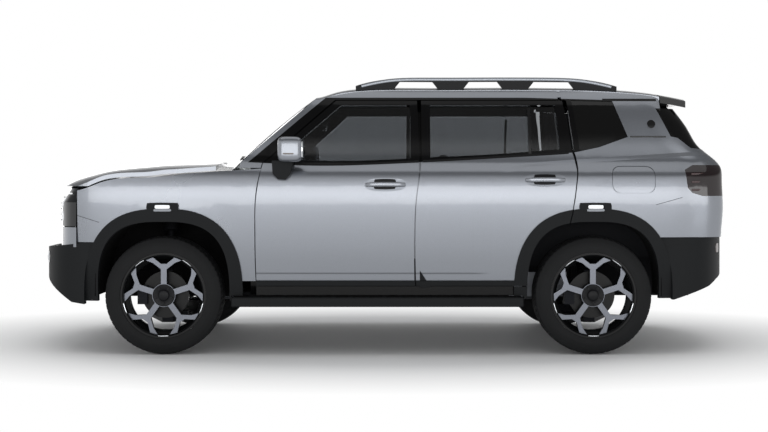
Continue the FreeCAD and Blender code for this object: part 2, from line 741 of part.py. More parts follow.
swing_room = rear_prism(tailgate_outline(up(GLASS_FOOT_SHARE), up(TAILGATE_TOP_SHARE),
                                         -size("swing_gap")), 0, rear_reach)
side_panes = [pane.cut(swing_room) for pane in side_panes]
tail_glass = tail_slab(up(GLASS_FOOT_SHARE), up(TAILGATE_TOP_SHARE), size("glass_inset"),
                       size("glass_wall"))
tail_glass = tail_glass.common(rear_prism(tailgate_outline(
    up(TAIL_WINDOW_SHARES[0]) + seat_gap, up(TAIL_WINDOW_SHARES[1]) - seat_gap,
    size("window_frame") + seat_gap), 0, rear_reach))
add_shape("tailgate_glass", tail_glass)


# Nose: plan outlines of the front and rear ends
def end_outline(side, reach, wide, back_x, power, inset=0, count=25):
    """Half-round plan outline of the nose (side -1) or tail (side 1), closed behind."""
    places = []
    for i in range(count):
        angle = math.pi * i / (count - 1)
        across = math.cos(angle)
        ahead = math.sin(angle)
        y = math.copysign(abs(across) ** (2 / power), across) * (wide - inset)
        x = back_x + side * ahead ** (2 / power) * (reach - inset)
        places.append((x, y))
    return places


def end_shell(side, reach, wide, back_x, power, wall, z_low, z_high, tail):
    """Bent wall of the nose or tail, open behind."""
    outer = end_outline(side, reach, wide, back_x, power)
    inner = end_outline(side, reach, wide, back_x, power, wall)
    tail_x_end = back_x - side * tail

    def face(curve):
        first, last = curve[0], curve[-1]
        runs = [curve, [last, (tail_x_end, last[1])],
                [(tail_x_end, last[1]), (tail_x_end, first[1])],
                [(tail_x_end, first[1]), first]]
        return Part.Face(Part.Wire(run_edges(runs, lambda a, b: Vector(a, b, z_low))))

    rise = Vector(0, 0, z_high - z_low)
    behind = Vector(-side * over, 0, 0)
    hollow = face(inner).extrude(rise)
    hollow = hollow.fuse(hollow.translated(behind))
    return face(outer).extrude(rise).cut(hollow)


FRONT_BUMPER_SHARES = [(-1.02, 0.3750), (-0.985, 0.3750), (-0.60, 0.3985), (-0.50, 0.3985),
                       (-0.50, 0.1730), (-0.685, 0.1870), (-0.985, 0.2830),
                       (-1.02, 0.2870)]
NOSE_BACK_SHARE = -0.560
NOSE_POWER_SHARE = 2.8
FASCIA_REACH_SHARE = -0.880
FASCIA_FOOT_SHARE = 0.3830
LAMP_FOOT_SHARE = 0.4563
LAMP_INNER_SHARE = 0.700
FASCIA_WIDTH_SHARE = 0.500
nose_back = along(NOSE_BACK_SHARE)
bumper_reach = nose_back - nose_x
fascia_reach = nose_back - along(FASCIA_REACH_SHARE)
bumper_half = side_y(nose_back, up(0.34)) + size("cladding_proud")
fascia_half = side_y(nose_back, up(FASCIA_WIDTH_SHARE))

front_bumper = end_shell(-1, bumper_reach, bumper_half, nose_back, NOSE_POWER_SHARE,
                         size("bumper_wall"), up(0.16), up(0.42), over)
front_bumper = front_bumper.common(polyline_prism(FRONT_BUMPER_SHARES, outer_y, -outer_y))
front_bumper = front_bumper.cut(both_sides(flare_cuts[0]))
intake = block(nose_x - over, nose_back - fascia_reach, -half_width * 0.45, half_width * 0.45,
               up(0.245), up(0.315))
front_bumper = front_bumper.cut(intake)
add_shape("front_bumper", front_bumper)

NOSE_LEAN_SHARES = (0.5420, 0.6000)
nose_low, nose_high = up(NOSE_LEAN_SHARES[0]), up(NOSE_LEAN_SHARES[1])


def nose_ring(z, inset):
    """Plan outline of the fascia at one height, closed well behind it."""
    curve = end_outline(-1, fascia_reach, fascia_half, nose_back, NOSE_POWER_SHARE, inset)
    first, last = curve[0], curve[-1]
    back = nose_back + over
    runs = [curve, [last, (back, last[1])], [(back, last[1]), (back, first[1])],
            [(back, first[1]), first]]
    return Part.Wire(run_edges(runs, lambda a, b: Vector(a, b, z)))


nose_form = Part.makeLoft([nose_ring(nose_low, 0), nose_ring(nose_high, size("nose_lean"))],
                          True, True)
nose_room = block(nose_x, nose_back, -half_width, half_width, nose_low, nose_high).cut(nose_form)
nose_wall = size("fascia_wall")
fascia_shell = end_shell(-1, fascia_reach, fascia_half, nose_back, NOSE_POWER_SHARE, nose_wall,
                         up(FASCIA_FOOT_SHARE), up(0.60), gap)


nose_bow = size("nose_bow")


def nose_height(x, y):
    """Height of the bonnet skin, rolled down at its sides and following the nose in plan."""
    x_side = x + nose_bow * (abs(y) / half_width) ** 4
    x_plan = max(x_side, along(-0.99))
    middle = up(bonnet_curve(share_along(x_plan)))
    edge = up(bonnet_edge_curve(share_along(x))) + size("bonnet_wall") + gap
    reach = min(abs(y) / side_y(x, edge), 1.05)
    return middle - max(middle - edge, 0) * reach ** 6 + size("bonnet_crown") * (1 - reach ** 2)


BONNET_REAR_SHARE = 0.122


def bonnet_shape():
    low, high = along(-0.90), along(BONNET_REAR_SHARE)
    xs = steps(low, high, 26)
    rows = []
    for x in xs:
        edge = up(bonnet_edge_curve(share_along(x))) + size("bonnet_wall") / 2 + gap
        reach = side_y(x, edge)
        rows.append([Vector(x, y, nose_height(x, y)) for y in steps(-reach, reach, 21)])
    slab = surface_face(rows).extrude(Vector(0, 0, -size("bonnet_wall")))
    return slab


bonnet = bonnet_shape()
front_limit = Part.Face(Part.Wire(run_edges(
    [end_outline(-1, fascia_reach, fascia_half, nose_back, NOSE_POWER_SHARE),
     [(nose_back, -fascia_half), (along(0.2), -fascia_half)],
     [(along(0.2), -fascia_half), (along(0.2), fascia_half)],
     [(along(0.2), fascia_half), (nose_back, fascia_half)]],
    lambda a, b: Vector(a, b, 0)))).extrude(Vector(0, 0, height))
bonnet = bonnet.common(front_limit).cut(nose_room)
add_shape("bonnet", bonnet)
under_bonnet = z_slab(along(-0.99), along(-0.3), lambda x: half_width,
                      lambda x, y: nose_height(x, y) + over * 2,
                      size("bonnet_wall") + gap + over * 2, 14, 21)
lamp_zone = block(nose_x, along(FENDER_NOSE_SHARE) - gap, -half_width * 1.1,
                  -half_width * LAMP_INNER_SHARE, up(LAMP_FOOT_SHARE), height)
headlamp = fascia_shell.cut([under_bonnet, nose_room]).common(lamp_zone)
add_shape("headlamps", both_sides(headlamp))
grille_zone = block(nose_x, nose_back, -half_width * LAMP_INNER_SHARE + gap,
                    half_width * LAMP_INNER_SHARE - gap, up(LAMP_FOOT_SHARE), height)
grille_shell = fascia_shell.cut([under_bonnet, nose_room]).common(grille_zone)
add_shape("grille", grille_shell)
fascia = fascia_shell.cut(block(nose_x, 0, -half_width, half_width,
                                up(LAMP_FOOT_SHARE) - gap, height))
behind_fascia = block(along(FENDER_NOSE_SHARE) - gap, 0, -half_width, half_width, 0, height)
add_shape("fascia", fascia.cut([behind_fascia, front_bumper]))


# Windscreen
SCREEN_FOOT_SHARES = (0.176, 0.6830)
SCREEN_HEAD_SHARES = (0.366, 0.9330)
SCREEN_SIDE_SHARE = 0.8
SCREEN_HEAD_BOW_SHARE = 0.55
COWL_TOP_SHARE = 0.652


def screen_x(y, z):
    """Front face of the windscreen: leaning back, bowed forward in the middle."""
    foot_x, foot_z = point(*SCREEN_FOOT_SHARES)
    head_x, head_z = point(*SCREEN_HEAD_SHARES)
    rise = (z - foot_z) / (head_z - foot_z)
    bow = size("screen_bow") * (1 - SCREEN_HEAD_BOW_SHARE * rise)
    lean = size("screen_belly") * 4 * rise * (1 - rise)
    across = (y / half_width) ** 2 - SCREEN_SIDE_SHARE
    return foot_x + (head_x - foot_x) * rise + bow * across - lean


def screen_edge(z):
    x = screen_x(half_width * SCREEN_SIDE_SHARE, z)
    return side_y(x, z) - size("pillar_wall")


def screen_slab(z_low, z_high, inset, wall):
    zs = steps(z_low, z_high, 16)
    ys = steps(-half_width, half_width, 21)
    grid = [[Vector(screen_x(y, z) + inset, y, z) for y in ys] for z in zs]
    return surface_face(grid).extrude(Vector(wall, 0, 0))


def screen_outline(low, high, margin):
    zs = steps(low, high, 7)
    right = [(screen_edge(z) - margin, z) for z in zs]
    left = [(-y, z) for y, z in reversed(right)]
    return [right, [right[-1], left[0]], left, [left[-1], right[0]]]


screen_low, screen_high = up(COWL_TOP_SHARE) + seat_gap, up(SCREEN_HEAD_SHARES[1])
windscreen = screen_slab(screen_low, screen_high, 0, size("screen_wall")).common(
    rear_prism(screen_outline(screen_low, screen_high, seat_gap), nose_x, 0))
screen_stop = z_slab(along(ROOF_FRONT_SHARE) - seat_gap, 0, lambda x: half_width,
                     lambda x, y: roof_z(x, min(abs(y), roof_half(x))) + over,
                     over + size("roof_wall") + seat_gap)
windscreen = windscreen.cut(screen_stop)
add_shape("fixed_glass", Part.makeCompound([windscreen] + side_panes))


# Side frame: pillars, cant rail and sill, with an inner ring behind the doors
PILLAR_FOOT_SHARES = (0.1770, 0.6840)
PILLAR_HEAD_SHARES = (0.3520, 0.9190)
FRAME_FRONT_SHARE = 0.199


def frame_outline(x_end):
    foot = point(*PILLAR_FOOT_SHARES)
    head = point(*PILLAR_HEAD_SHARES)
    xs = steps(along(0.392), x_end, 12)
    seam = [head] + [(x, up(roof_curve(share_along(x))) - roof_drop - half_gap) for x in xs]
    sill = size("step_top") + gap
    front = along(FRAME_FRONT_SHARE)
    return [[foot, head], seam, [seam[-1], (x_end, sill)], [(x_end, sill), (front, sill)],
            [(front, sill), foot]]


def side_frame():
    end = quarter_start + gap * 12
    runs = frame_outline(end)
    box = outline_box(runs, gap)
    outline = side_prism(runs, outer_y, 0)
    skin = side_slab(*box, 0, size("pillar_wall")).common(outline)
    silver_line = block(box[0], box[1], outer_y, 0, 0, up(0.2450) - gap)
    sill_zone = side_slab(*box, 0, size("sill_inset")).common(silver_line)
    skin = skin.cut([side_prism(front_door_hole, outer_y, 0),
                     side_prism(rear_door_hole, outer_y, 0), sill_zone,
                     block(box[0], along(0.23), outer_y, 0, 0, up(0.665)), flare_cuts[1]])
    depth = size("door_thickness") + size("seal_gap")
    ring = side_slab(*box, depth, size("frame_wall"))
    front_open = door_runs(*front_door_lines, size("ring_width"), -size("ring_width"),
                           -size("ring_width"), size("ring_width") * 1.3)
    rear_open = door_runs(*rear_door_lines, size("ring_width"), -size("ring_width") * 1.2,
                          -size("ring_width"), size("ring_width") * 1.3)
    ring = ring.common(outline).cut([side_prism(front_open, outer_y, 0),
                                     side_prism(rear_open, outer_y, 0), arch_cuts[1],
                                     block(box[0], along(FRAME_FRONT_SHARE), outer_y, 0, 0,
                                           up(0.70))])
    cant_z = up(CANT_SHARE) + gap * 2
    bridge = side_slab(along(0.40), end, cant_z, up(0.9470), size("skin_wall"),
                       depth + size("frame_wall") / 2 - size("skin_wall"))
    bridge = bridge.common(outline)
    sill = block(along(0.215), quarter_start, -half_width * 0.915, -size("cabin_half_width"),
                 size("step_top") + gap, up(0.2450) - gap)
    whole = ring.fuse([skin, bridge, sill])
    return whole.cut(flare_cuts[1]).cut(roof_room)


frame_left = side_frame()
add_shape("side_frames", both_sides(frame_left))


# Rear bumper
REAR_BUMPER_SHARES = [(1.42, 0.4150), (1.94, 0.4160), (2.02, 0.4080), (2.02, 0.3150),
                      (1.965, 0.2830), (1.874, 0.2645), (1.803, 0.2423), (1.662, 0.2165),
                      (1.550, 0.1962), (1.46, 0.1926), (1.40, 0.28)]
TAIL_BACK_SHARE = 1.560
tail_back = along(TAIL_BACK_SHARE)
tail_half = side_y(tail_back, up(0.34)) + size("cladding_proud")
rear_bumper = end_shell(1, -nose_x - tail_back, tail_half, tail_back, NOSE_POWER_SHARE,
                        size("bumper_wall"), up(0.16), up(0.42), over * 3)
rear_bumper = rear_bumper.common(polyline_prism(REAR_BUMPER_SHARES, outer_y, -outer_y))
rear_bumper = rear_bumper.cut(both_sides(flare_cuts[1]))
add_shape("rear_bumper", rear_bumper)


# Front door trim with the mirror
MIRROR_FOOT_SHARES = [(0.2540, 0.6900), (0.2560, 0.6440), (0.2680, 0.6250), (0.2860, 0.6230),
                      (0.2960, 0.6420), (0.3040, 0.6900)]
MIRROR_PLACE_SHARES = (0.272, 0.690)


def mirror_shape():
    """Foot on the door's shoulder, with the housing above it."""
    foot_x, foot_z = point(*MIRROR_PLACE_SHARES)
    y = -side_y(foot_x, foot_z)
    shoulder = -side_y(foot_x, up(MIRROR_FOOT_SHARES[2][1]))
    foot = polyline_prism(MIRROR_FOOT_SHARES, shoulder - over / 2, y + gap)
    shell = block(foot_x, foot_x + size("mirror_depth"), y - over - size("mirror_width"),
                  y - over / 2, foot_z - gap, foot_z + size("mirror_height"))
    shell = shell.makeFillet(size("mirror_round"), shell.Edges)
    return foot.cut(front_door).fuse(shell)


front_trim = door_trim(front_door_runs)
front_trim = Part.makeCompound([front_trim, mirror_shape()])
add_shape("trim_front_left", front_trim)
add_shape("trim_front_right", mirrored(front_trim))


# Roof rails, side steps
RAIL_END_SHARES = (0.445, 1.215)
RAIL_RISE_SHARES = [0.0, 0.78, 1.0, 1.0, 1.0, 1.0, 1.0, 0.78, 0.0]
RAIL_FOOT_SHARES = (0.507, 0.674, 0.830, 1.0075)
RAIL_FOOT_LENGTH_SHARE = 2.6
RAIL_SLANT_SHARE = 1.6


def roof_rail():
    """Rail on four feet, its ends run down to the roof, with three windows cut under it."""
    y = -size("rail_spread") / 2
    width = size("rail_width")
    rise = size("rail_foot")
    xs = steps(along(RAIL_END_SHARES[0]), along(RAIL_END_SHARES[1]), len(RAIL_RISE_SHARES))
    top = [(x, roof_z(x, y) + rise * e + size("rail_height"))
           for x, e in zip(xs, RAIL_RISE_SHARES)]
    first, last = (xs[0], roof_z(xs[0], y) - over), (xs[-1], roof_z(xs[-1], y) - over)
    bar = side_prism([top, [top[-1], last], [last, first], [first, top[0]]],
                     y - width / 2, y + width / 2)
    places = [along(share) for share in RAIL_FOOT_SHARES]
    reach = rise * RAIL_FOOT_LENGTH_SHARE
    for before, after in zip(places[:-1], places[1:]):
        low, high = before + reach, after - reach
        slant = rise * RAIL_SLANT_SHARE
        under = [(x, roof_z(x, y) + rise) for x in steps(low, high, 5)]
        foot = [(high + slant, roof_z(high, y) - rise), (low - slant, roof_z(low, y) - rise)]
        window = side_prism([under, [under[-1], foot[0]], foot, [foot[1], under[0]]],
                            y - width, y + width)
        bar = bar.cut(window)
    skin = z_slab(along(0.42), along(1.25), roof_half, lambda a, b: roof_z(a, b) + seat_gap,
                  over * 2, 24, 17)
    return bar.cut(skin)


rail = roof_rail()
add_shape("roof_rails", both_sides(rail))
step_left = block(step_front, step_rear, -size("step_reach"),
                  -size("step_reach") + size("step_width"),
                  size("step_top") - size("step_height"), size("step_top"))
step_left = step_left.makeFillet(size("edge_round"), step_left.Edges)
bracket_places = [along(share) for share in (0.28, 0.72)]
brackets = [block(x - over / 2, x + over / 2, -size("step_reach") + size("step_width") - gap,
                  -size("cabin_half_width"), size("step_top") - size("step_height") * 0.7,
                  size("step_top") + gap - 0.3) for x in bracket_places]
add_shape("side_steps", both_sides(fused([step_left] + brackets)))


# Floor, bulkhead and wheel liners
REAR_SPLASH_SHARE = 0.43
kingpin_y = wheel_y - size("kingpin_inset")
cabin_half = size("cabin_half_width")
floor_z = size("floor_level")
load_z = size("load_floor_level")
wall = size("floor_wall")
front_end = along(0.160)
kick = along(0.80)
rear_end = along(1.80)
pan_start = front_end + size("bulkhead_wall")
bench_z = load_z - over
bench_end = along(0.965)
pan = block(pan_start, kick + wall, -cabin_half, cabin_half, floor_z, floor_z + wall)
riser = block(kick, kick + wall, -cabin_half, cabin_half, floor_z, bench_z)
rear_half = wheel_y - size("tyre_width") / 2 - over / 2
deck = block(bench_end, rear_end, -rear_half, rear_half, load_z, load_z + wall)
bench_deck = block(kick, bench_end + wall, -rear_half, rear_half, bench_z, bench_z + wall)
bench_riser = block(bench_end, bench_end + wall, -rear_half, rear_half, bench_z, load_z + wall)
tunnel = block(pan_start, kick, -over * 2, over * 2, floor_z, floor_z + over * 1.6)
front_rails = [block(along(-0.62), front_end, side - over * 0.6, side + over * 0.6,
                     up(0.27), up(0.33)) for side in (-half_width * 0.42, half_width * 0.42)]
rear_rails = []
inner_walls = []
for side in (-1, 1):
    rail_y, wall_y = side * half_width * 0.5, side * rear_half
    for start, end, foot in ((kick, bench_end, bench_z), (bench_end, rear_end, load_z)):
        rear_rails.append(block(start, end, rail_y - over / 2, rail_y + over / 2,
                                foot - over * 0.8, foot))
        inner_walls.append(block(start, end, wall_y - wall / 2, wall_y + wall / 2,
                                 foot, up(0.66)))
bulkhead = block(front_end, front_end + size("bulkhead_wall"), -cabin_half, cabin_half,
                 floor_z, up(0.60))
cowl = block(along(0.160), along(0.215), -cabin_half, cabin_half, up(0.60), up(0.645))
cowl_top = block(along(BONNET_REAR_SHARE), along(0.170), -half_width * 0.8, half_width * 0.8,
                 up(0.640), up(COWL_TOP_SHARE))
shelf_front = block(along(-0.62), along(-0.58), -half_width * 0.62, half_width * 0.62,
                    up(0.27), up(0.54))
beam_x = nose_x + size("bumper_wall") * 2
crash_beam = block(beam_x, along(-0.62), -half_width * 0.42 - over * 0.6,
                   half_width * 0.42 + over * 0.6, up(0.27), up(0.30))
tow_y = -half_width * 0.32
tow_bore = rod(Vector(beam_x - 1, tow_y, up(0.285)), Vector(beam_x + size("tow_depth"), tow_y,
                                                            up(0.285)), size("tow_dia"))
crash_beam = crash_beam.cut(tow_bore)
tail_panel = block(rear_end - wall, rear_end, -half_width * 0.60, half_width * 0.60,
                   up(0.24), up(0.415))
bumper_mounts = [block(rear_end - gap, -nose_x - size("bumper_wall") - gap * 1.5,
                       side - over / 2, side + over / 2, up(0.30), up(0.335))
                 for side in (-half_width * 0.3, half_width * 0.3)]
splash_y = half_width * REAR_SPLASH_SHARE
splash_walls = [block(bench_end + wall, rear_end - wall, side * splash_y,
                      side * splash_y + size("splash_wall"), size("liner_foot"), load_z)
                for side in (-1, 1)]
add_shape("floor_pan", fused([pan, riser, deck, bench_deck, bench_riser, tail_panel, tunnel]
                             + rear_rails + inner_walls + bumper_mounts + splash_walls))


def arch_liner(axle_x, y_inner):
    """Liner from the back of the arch cladding to the inner side of the wheel's room."""
    reach, rise = opening_reach + gap, opening_rise + gap
    thick = size("liner_wall")
    outer = arch_prism(axle_x, reach, rise, ARCH_POWER_SHARE, -half_width, -y_inner)
    inner = arch_prism(axle_x, reach - thick, rise - thick, ARCH_POWER_SHARE,
                       -half_width - gap, -y_inner + gap)
    low, high = axle_x - flare_reach - over, axle_x + flare_reach + over
    skin = side_slab(low, high, up(SIDE_SHARES[0][0]), tyre_radius + flare_rise + over,
                     -over, over + size("skin_wall") + seat_gap)
    return outer.cut(inner).cut([block(low, high, outer_y, 0, -over * 2, tyre_radius), skin])


def arch_wall(axle_x, y_inner):
    """Upright wall that closes a liner on its inner side."""
    reach, rise = opening_reach + gap, opening_rise + gap
    wall = arch_prism(axle_x, reach, rise, ARCH_POWER_SHARE, -y_inner,
                      -y_inner + size("splash_wall"))
    return wall.cut(block(axle_x - flare_reach, axle_x + flare_reach, outer_y, 0, -over * 2,
                          size("liner_foot")))


STRUT_HEAD_SHARE = 0.56
strut_foot = Vector(front_axle, size("carrier_wall") * 1.2 - kingpin_y,
                    tyre_radius + size("carrier_height") / 2 + size("strut_gap"))
strut_head = Vector(front_axle, -half_width * STRUT_HEAD_SHARE, up(0.52) - over * 0.3)
strut_room = rod(strut_foot, strut_head, size("spring_dia") * 1.3)
front_room = wheel_y - size("liner_depth")
front_liner = arch_liner(front_axle, front_room).cut(strut_room)
front_liner = front_liner.fuse(arch_wall(front_axle, front_room))
rear_liner = arch_liner(rear_axle, rear_half + wall / 2)
add_shape("arch_liners", Part.makeCompound([front_liner, mirrored(front_liner),
                                            rear_liner, mirrored(rear_liner)]))


# Engine, tank, silencer and the seats
TANK_SHARE = 0.455
PIPE_LEVEL_SHARE = 0.165
SILENCER_LEVEL_SHARE = 0.215
PIPE_HANGER_SHARES = (0.30, 0.55, 0.77)
engine_x = front_axle - size("engine_length") * 0.30
engine = block(engine_x - size("engine_length") / 2, engine_x + size("engine_length") / 2,
               -size("engine_width") / 2 * 0.8, size("engine_width") / 2 * 0.8,
               up(0.20), up(0.20) + size("engine_height"))
add_shape("engine_block", engine.makeFillet(size("edge_round"), engine.Edges))
tank = block(kick + wall + gap, bench_end - gap, -half_width * TANK_SHARE,
             half_width * TANK_SHARE, floor_z - over / 2, bench_z - seat_gap)
pipe_z = up(PIPE_LEVEL_SHARE)
silencer_z = up(SILENCER_LEVEL_SHARE)
hanger = size("hanger_width")
pipe_bend = Vector(along(0.90), over, pipe_z)
silencer_front = Vector(along(1.38), over, silencer_z)
silencer_back = silencer_front + Vector(size("silencer_length"), 0, 0)
pipe = [rod(Vector(along(0.10), over, pipe_z), pipe_bend, size("pipe_dia")),
        Part.makeSphere(size("pipe_dia") / 2, pipe_bend),
        rod(pipe_bend, silencer_front + Vector(gap, 0, 0), size("pipe_dia")),
        rod(silencer_front, silencer_back, size("silencer_dia"))]
pipe_hangers = [block(along(share) - hanger, along(share) + hanger, over - hanger / 2,
                      over + hanger / 2, pipe_z, floor_z - seat_gap)
                for share in PIPE_HANGER_SHARES]
silencer_hanger = block(silencer_front.x + over, silencer_front.x + over + hanger * 2,
                        over - hanger / 2, over + hanger / 2, silencer_z, load_z - seat_gap)
exhaust = fused(pipe + pipe_hangers + [silencer_hanger])
add_shape("exhaust_and_tank", Part.makeCompound([exhaust, tank]))


SEAT_CUSHION_SHARE = 0.72


def seat_outline(x, z, length_share, back_rise, lean):
    """Side outline of a seat: cushion, back and headrest in one soft form."""
    long = size("seat_pitch") * length_share
    thick = size("seat_wall")
    back = x + long * SEAT_CUSHION_SHARE
    return [(x, z), (x, z + thick), (back, z + thick), (back + lean, z + back_rise),
            (back + lean + thick, z + back_rise), (back + thick, z)]


def seat(x, z, y_middle, width, back_rise):
    outline = seat_outline(x, z, 0.95, back_rise, size("seat_lean"))
    body = side_prism(polygon_runs(outline), y_middle - width / 2, y_middle + width / 2)
    top_x = outline[3][0]
    head = block(top_x + gap, top_x + size("seat_wall") * 0.8, y_middle - width * 0.22,
                 y_middle + width * 0.22, z + back_rise - gap, z + back_rise + size("head_height"))
    return body.fuse(head)


seat_z = floor_z + wall + size("seat_rise")
front_seats = [seat(along(0.41), seat_z, y, size("seat_width"), size("seat_back"))
               for y in (-size("seat_spread") / 2, size("seat_spread") / 2)]
bench = seat(along(0.729), bench_z + wall + 0.3, 0, size("bench_width"),
             size("seat_back") * 0.92)
add_shape("seats", Part.makeCompound(front_seats + [bench]))
bases = [block(along(0.43), along(0.57), y - size("seat_width") * 0.4,
               y + size("seat_width") * 0.4, floor_z + wall, seat_z - 0.3)
         for y in (-size("seat_spread") / 2, size("seat_spread") / 2)]
add_shape("seat_bases", Part.makeCompound(bases))
dash = block(along(0.215), along(0.31), -cabin_half * 0.92, cabin_half * 0.92,
             up(0.47), up(0.655))
dash = dash.makeFillet(size("edge_round") * 4, [e for e in dash.Edges
                                               if abs(e.tangentAt(e.FirstParameter).y) > 0.9])
console = block(along(0.31) - gap, along(0.60), -over * 1.6, over * 1.6, floor_z + over * 1.6,
                floor_z + over * 4.6)
add_shape("dashboard", dash.fuse(console))


# Parametric bodies: sketches whose points are bound to the sheet
def new_body(name):
    body = doc.addObject("PartDesign::Body", name)
    body.Label = name
    return body


def plane_of(body, role):
    return [item for item in body.Origin.OriginFeatures if item.Role == role][0]


def bound_sketch(body, name, role, loops):
    """Closed outlines whose corners are pairs of expressions on the sheet."""
    sketch = body.newObject("Sketcher::SketchObject", name)
    sketch.AttachmentSupport = [(plane_of(body, role), "")]
    sketch.MapMode = "FlatFace"
    for loop in loops:
        values = [(float(sheet.evalExpression(a)), float(sheet.evalExpression(b)))
                  for a, b in loop]
        first = sketch.GeometryCount
        count = len(loop)
        for i, (a, b) in enumerate(values):
            c, d = values[(i + 1) % count]
            sketch.addGeometry(Part.LineSegment(Vector(a, b, 0), Vector(c, d, 0)))
        for i in range(count):
            following = first + (i + 1) % count
            sketch.addConstraint(Sketcher.Constraint("Coincident", first + i, 2, following, 1))
        for i, (a, b) in enumerate(loop):
            for kind, value, text in (("DistanceX", values[i][0], a),
                                      ("DistanceY", values[i][1], b)):
                at = sketch.addConstraint(Sketcher.Constraint(kind, -1, 1, first + i, 1, value))
                sketch.setExpression("Constraints[%d]" % at, text)
    return sketch


def revolve(body, sketch, name):
    feature = body.newObject("PartDesign::Revolution", name)
    feature.Profile = sketch
    feature.ReferenceAxis = (sketch, ["V_Axis"])
    feature.Angle = 360
    return feature


RIM = "Sizes.rim_dia / 2"
BEAD = "Sizes.rim_bead_dia / 2"
HALF = "Sizes.rim_width / 2"
WALL = "Sizes.rim_wall"
DROP = "Sizes.rim_bead_dia / 2 - Sizes.rim_drop"
BARREL_LOOP = [
    (RIM, "-" + HALF), (RIM, "-%s + %s" % (HALF, WALL)),
    (BEAD, "-%s + %s * 1.5" % (HALF, WALL)), (BEAD, "-%s * 0.55" % HALF),
    (DROP, "-%s * 0.35" % HALF), (DROP, "%s * 0.1" % HALF), (BEAD, "%s * 0.6" % HALF),
    (BEAD, "%s - %s * 1.5" % (HALF, WALL)), (RIM, "%s - %s" % (HALF, WALL)), (RIM, HALF),
    ("%s - %s * 1.5" % (RIM, WALL), HALF), ("%s - %s" % (BEAD, WALL), "%s * 0.8" % HALF),
    ("%s - %s" % (BEAD, WALL), "%s * 0.6" % HALF), ("%s - %s" % (DROP, WALL), "%s * 0.1" % HALF),
    ("%s - %s" % (DROP, WALL), "-%s * 0.35" % HALF),
    ("%s - %s" % (BEAD, WALL), "-%s * 0.55" % HALF),
    ("%s - %s" % (BEAD, WALL), "-%s * 0.9" % HALF), ("%s - %s * 1.5" % (RIM, WALL), "-" + HALF),
]
FACE = "(-Sizes.rim_width / 2 + Sizes.spoke_dish)"
HUB_LOOP = [
    ("0", FACE), ("Sizes.hub_dia / 2", FACE), ("Sizes.hub_dia / 2", FACE + " + Sizes.hub_depth"),
    ("Sizes.hub_dia / 2", "Sizes.disc_offset"), ("0", "Sizes.disc_offset"),
]
DISC_LOOP = [
    ("Sizes.hub_dia / 2 - Sizes.rim_wall", "-Sizes.disc_offset / 2"),
    ("Sizes.disc_dia / 2", "-Sizes.disc_offset / 2"),
    ("Sizes.disc_dia / 2", "-Sizes.disc_offset / 2 + Sizes.disc_thickness"),
    ("Sizes.hub_dia / 2 - Sizes.rim_wall", "-Sizes.disc_offset / 2 + Sizes.disc_thickness"),
]
STEM = "Sizes.spoke_stem / 2"
FORK = "Sizes.spoke_fork_radius"
TIP_R = "(Sizes.rim_bead_dia / 2 - Sizes.rim_wall / 2)"
HUB_REACH = "(Sizes.hub_dia / 2 - Sizes.rim_wall)"


def on_bead(across):
    """Height of a point of the rim's inner circle at a distance across."""
    return "sqrt(%s ^ 2 - (%s) ^ 2)" % (TIP_R, across)


SPOKE_HALF = [
    (STEM, HUB_REACH), (STEM, FORK), ("Sizes.spoke_elbow", "Sizes.spoke_elbow_radius"),
    ("Sizes.spoke_tip_outer", on_bead("Sizes.spoke_tip_outer")),
    ("Sizes.spoke_tip_inner", on_bead("Sizes.spoke_tip_inner")),
    ("Sizes.spoke_valley", "Sizes.spoke_valley_radius"),
]
SPOKE_LOOP = SPOKE_HALF + [("-(%s)" % a, b) for a, b in reversed(SPOKE_HALF)]


def make_rim(name):
    body = new_body(name)
    revolve(body, bound_sketch(body, name + "_barrel_line", "XY_Plane", [BARREL_LOOP]),
            name + "_barrel")
    spoke_line = bound_sketch(body, name + "_spoke_line", "XZ_Plane", [SPOKE_LOOP])
    spoke_line.setExpression("AttachmentOffset.Base.z",
                             "Sizes.rim_width / 2 - Sizes.spoke_dish - Sizes.spoke_depth")
    doc.recompute()
    spoke = body.newObject("PartDesign::Pad", name + "_spoke")
    spoke.Profile = spoke_line
    spoke.setExpression("Length", "Sizes.spoke_depth")
    doc.recompute()
    ring = body.newObject("PartDesign::PolarPattern", name + "_spokes")
    ring.Originals = [spoke]
    ring.Axis = (spoke_line, ["N_Axis"])
    ring.Angle = 360
    ring.setExpression("Occurrences", "Sizes.spoke_count")
    body.Tip = ring
    doc.recompute()
    revolve(body, bound_sketch(body, name + "_hub_line", "XY_Plane", [HUB_LOOP]), name + "_hub")
    doc.recompute()
    revolve(body, bound_sketch(body, name + "_disc_line", "XY_Plane", [DISC_LOOP]), name + "_disc")
    return body


TREAD = "Sizes.tyre_dia / 2"
SECTION = "Sizes.tyre_width / 2"
SEAT_CLEAR = "Sizes.rim_bead_dia / 2 + 0.4"
FLANGE_CLEAR = "Sizes.rim_dia / 2 + 0.6"
RUBBER = "Sizes.tyre_wall"
TYRE_LOOP = [
    (SEAT_CLEAR, "-%s + %s * 1.6" % (HALF, WALL)),
    (FLANGE_CLEAR, "-%s + %s * 1.6" % (HALF, WALL)), (FLANGE_CLEAR, "-%s * 0.99" % HALF),
    ("Sizes.rim_dia / 2 + Sizes.tyre_wall", "-%s * 0.985" % SECTION),
    ("Sizes.tyre_dia / 2 - Sizes.tyre_wall * 4", "-" + SECTION),
    ("Sizes.tyre_dia / 2 - Sizes.tyre_wall * 1.6", "-%s * 0.96" % SECTION),
    ("Sizes.tyre_dia / 2 - Sizes.tyre_wall * 0.5", "-%s * 0.88" % SECTION),
    (TREAD, "-%s * 0.76" % SECTION),
]
TYRE_LOOP = TYRE_LOOP + [(a, b[1:]) if b.startswith("-") and " + " not in b else
                         (a, "%s - %s * 1.6" % (HALF, WALL))
                         for a, b in reversed(TYRE_LOOP)]
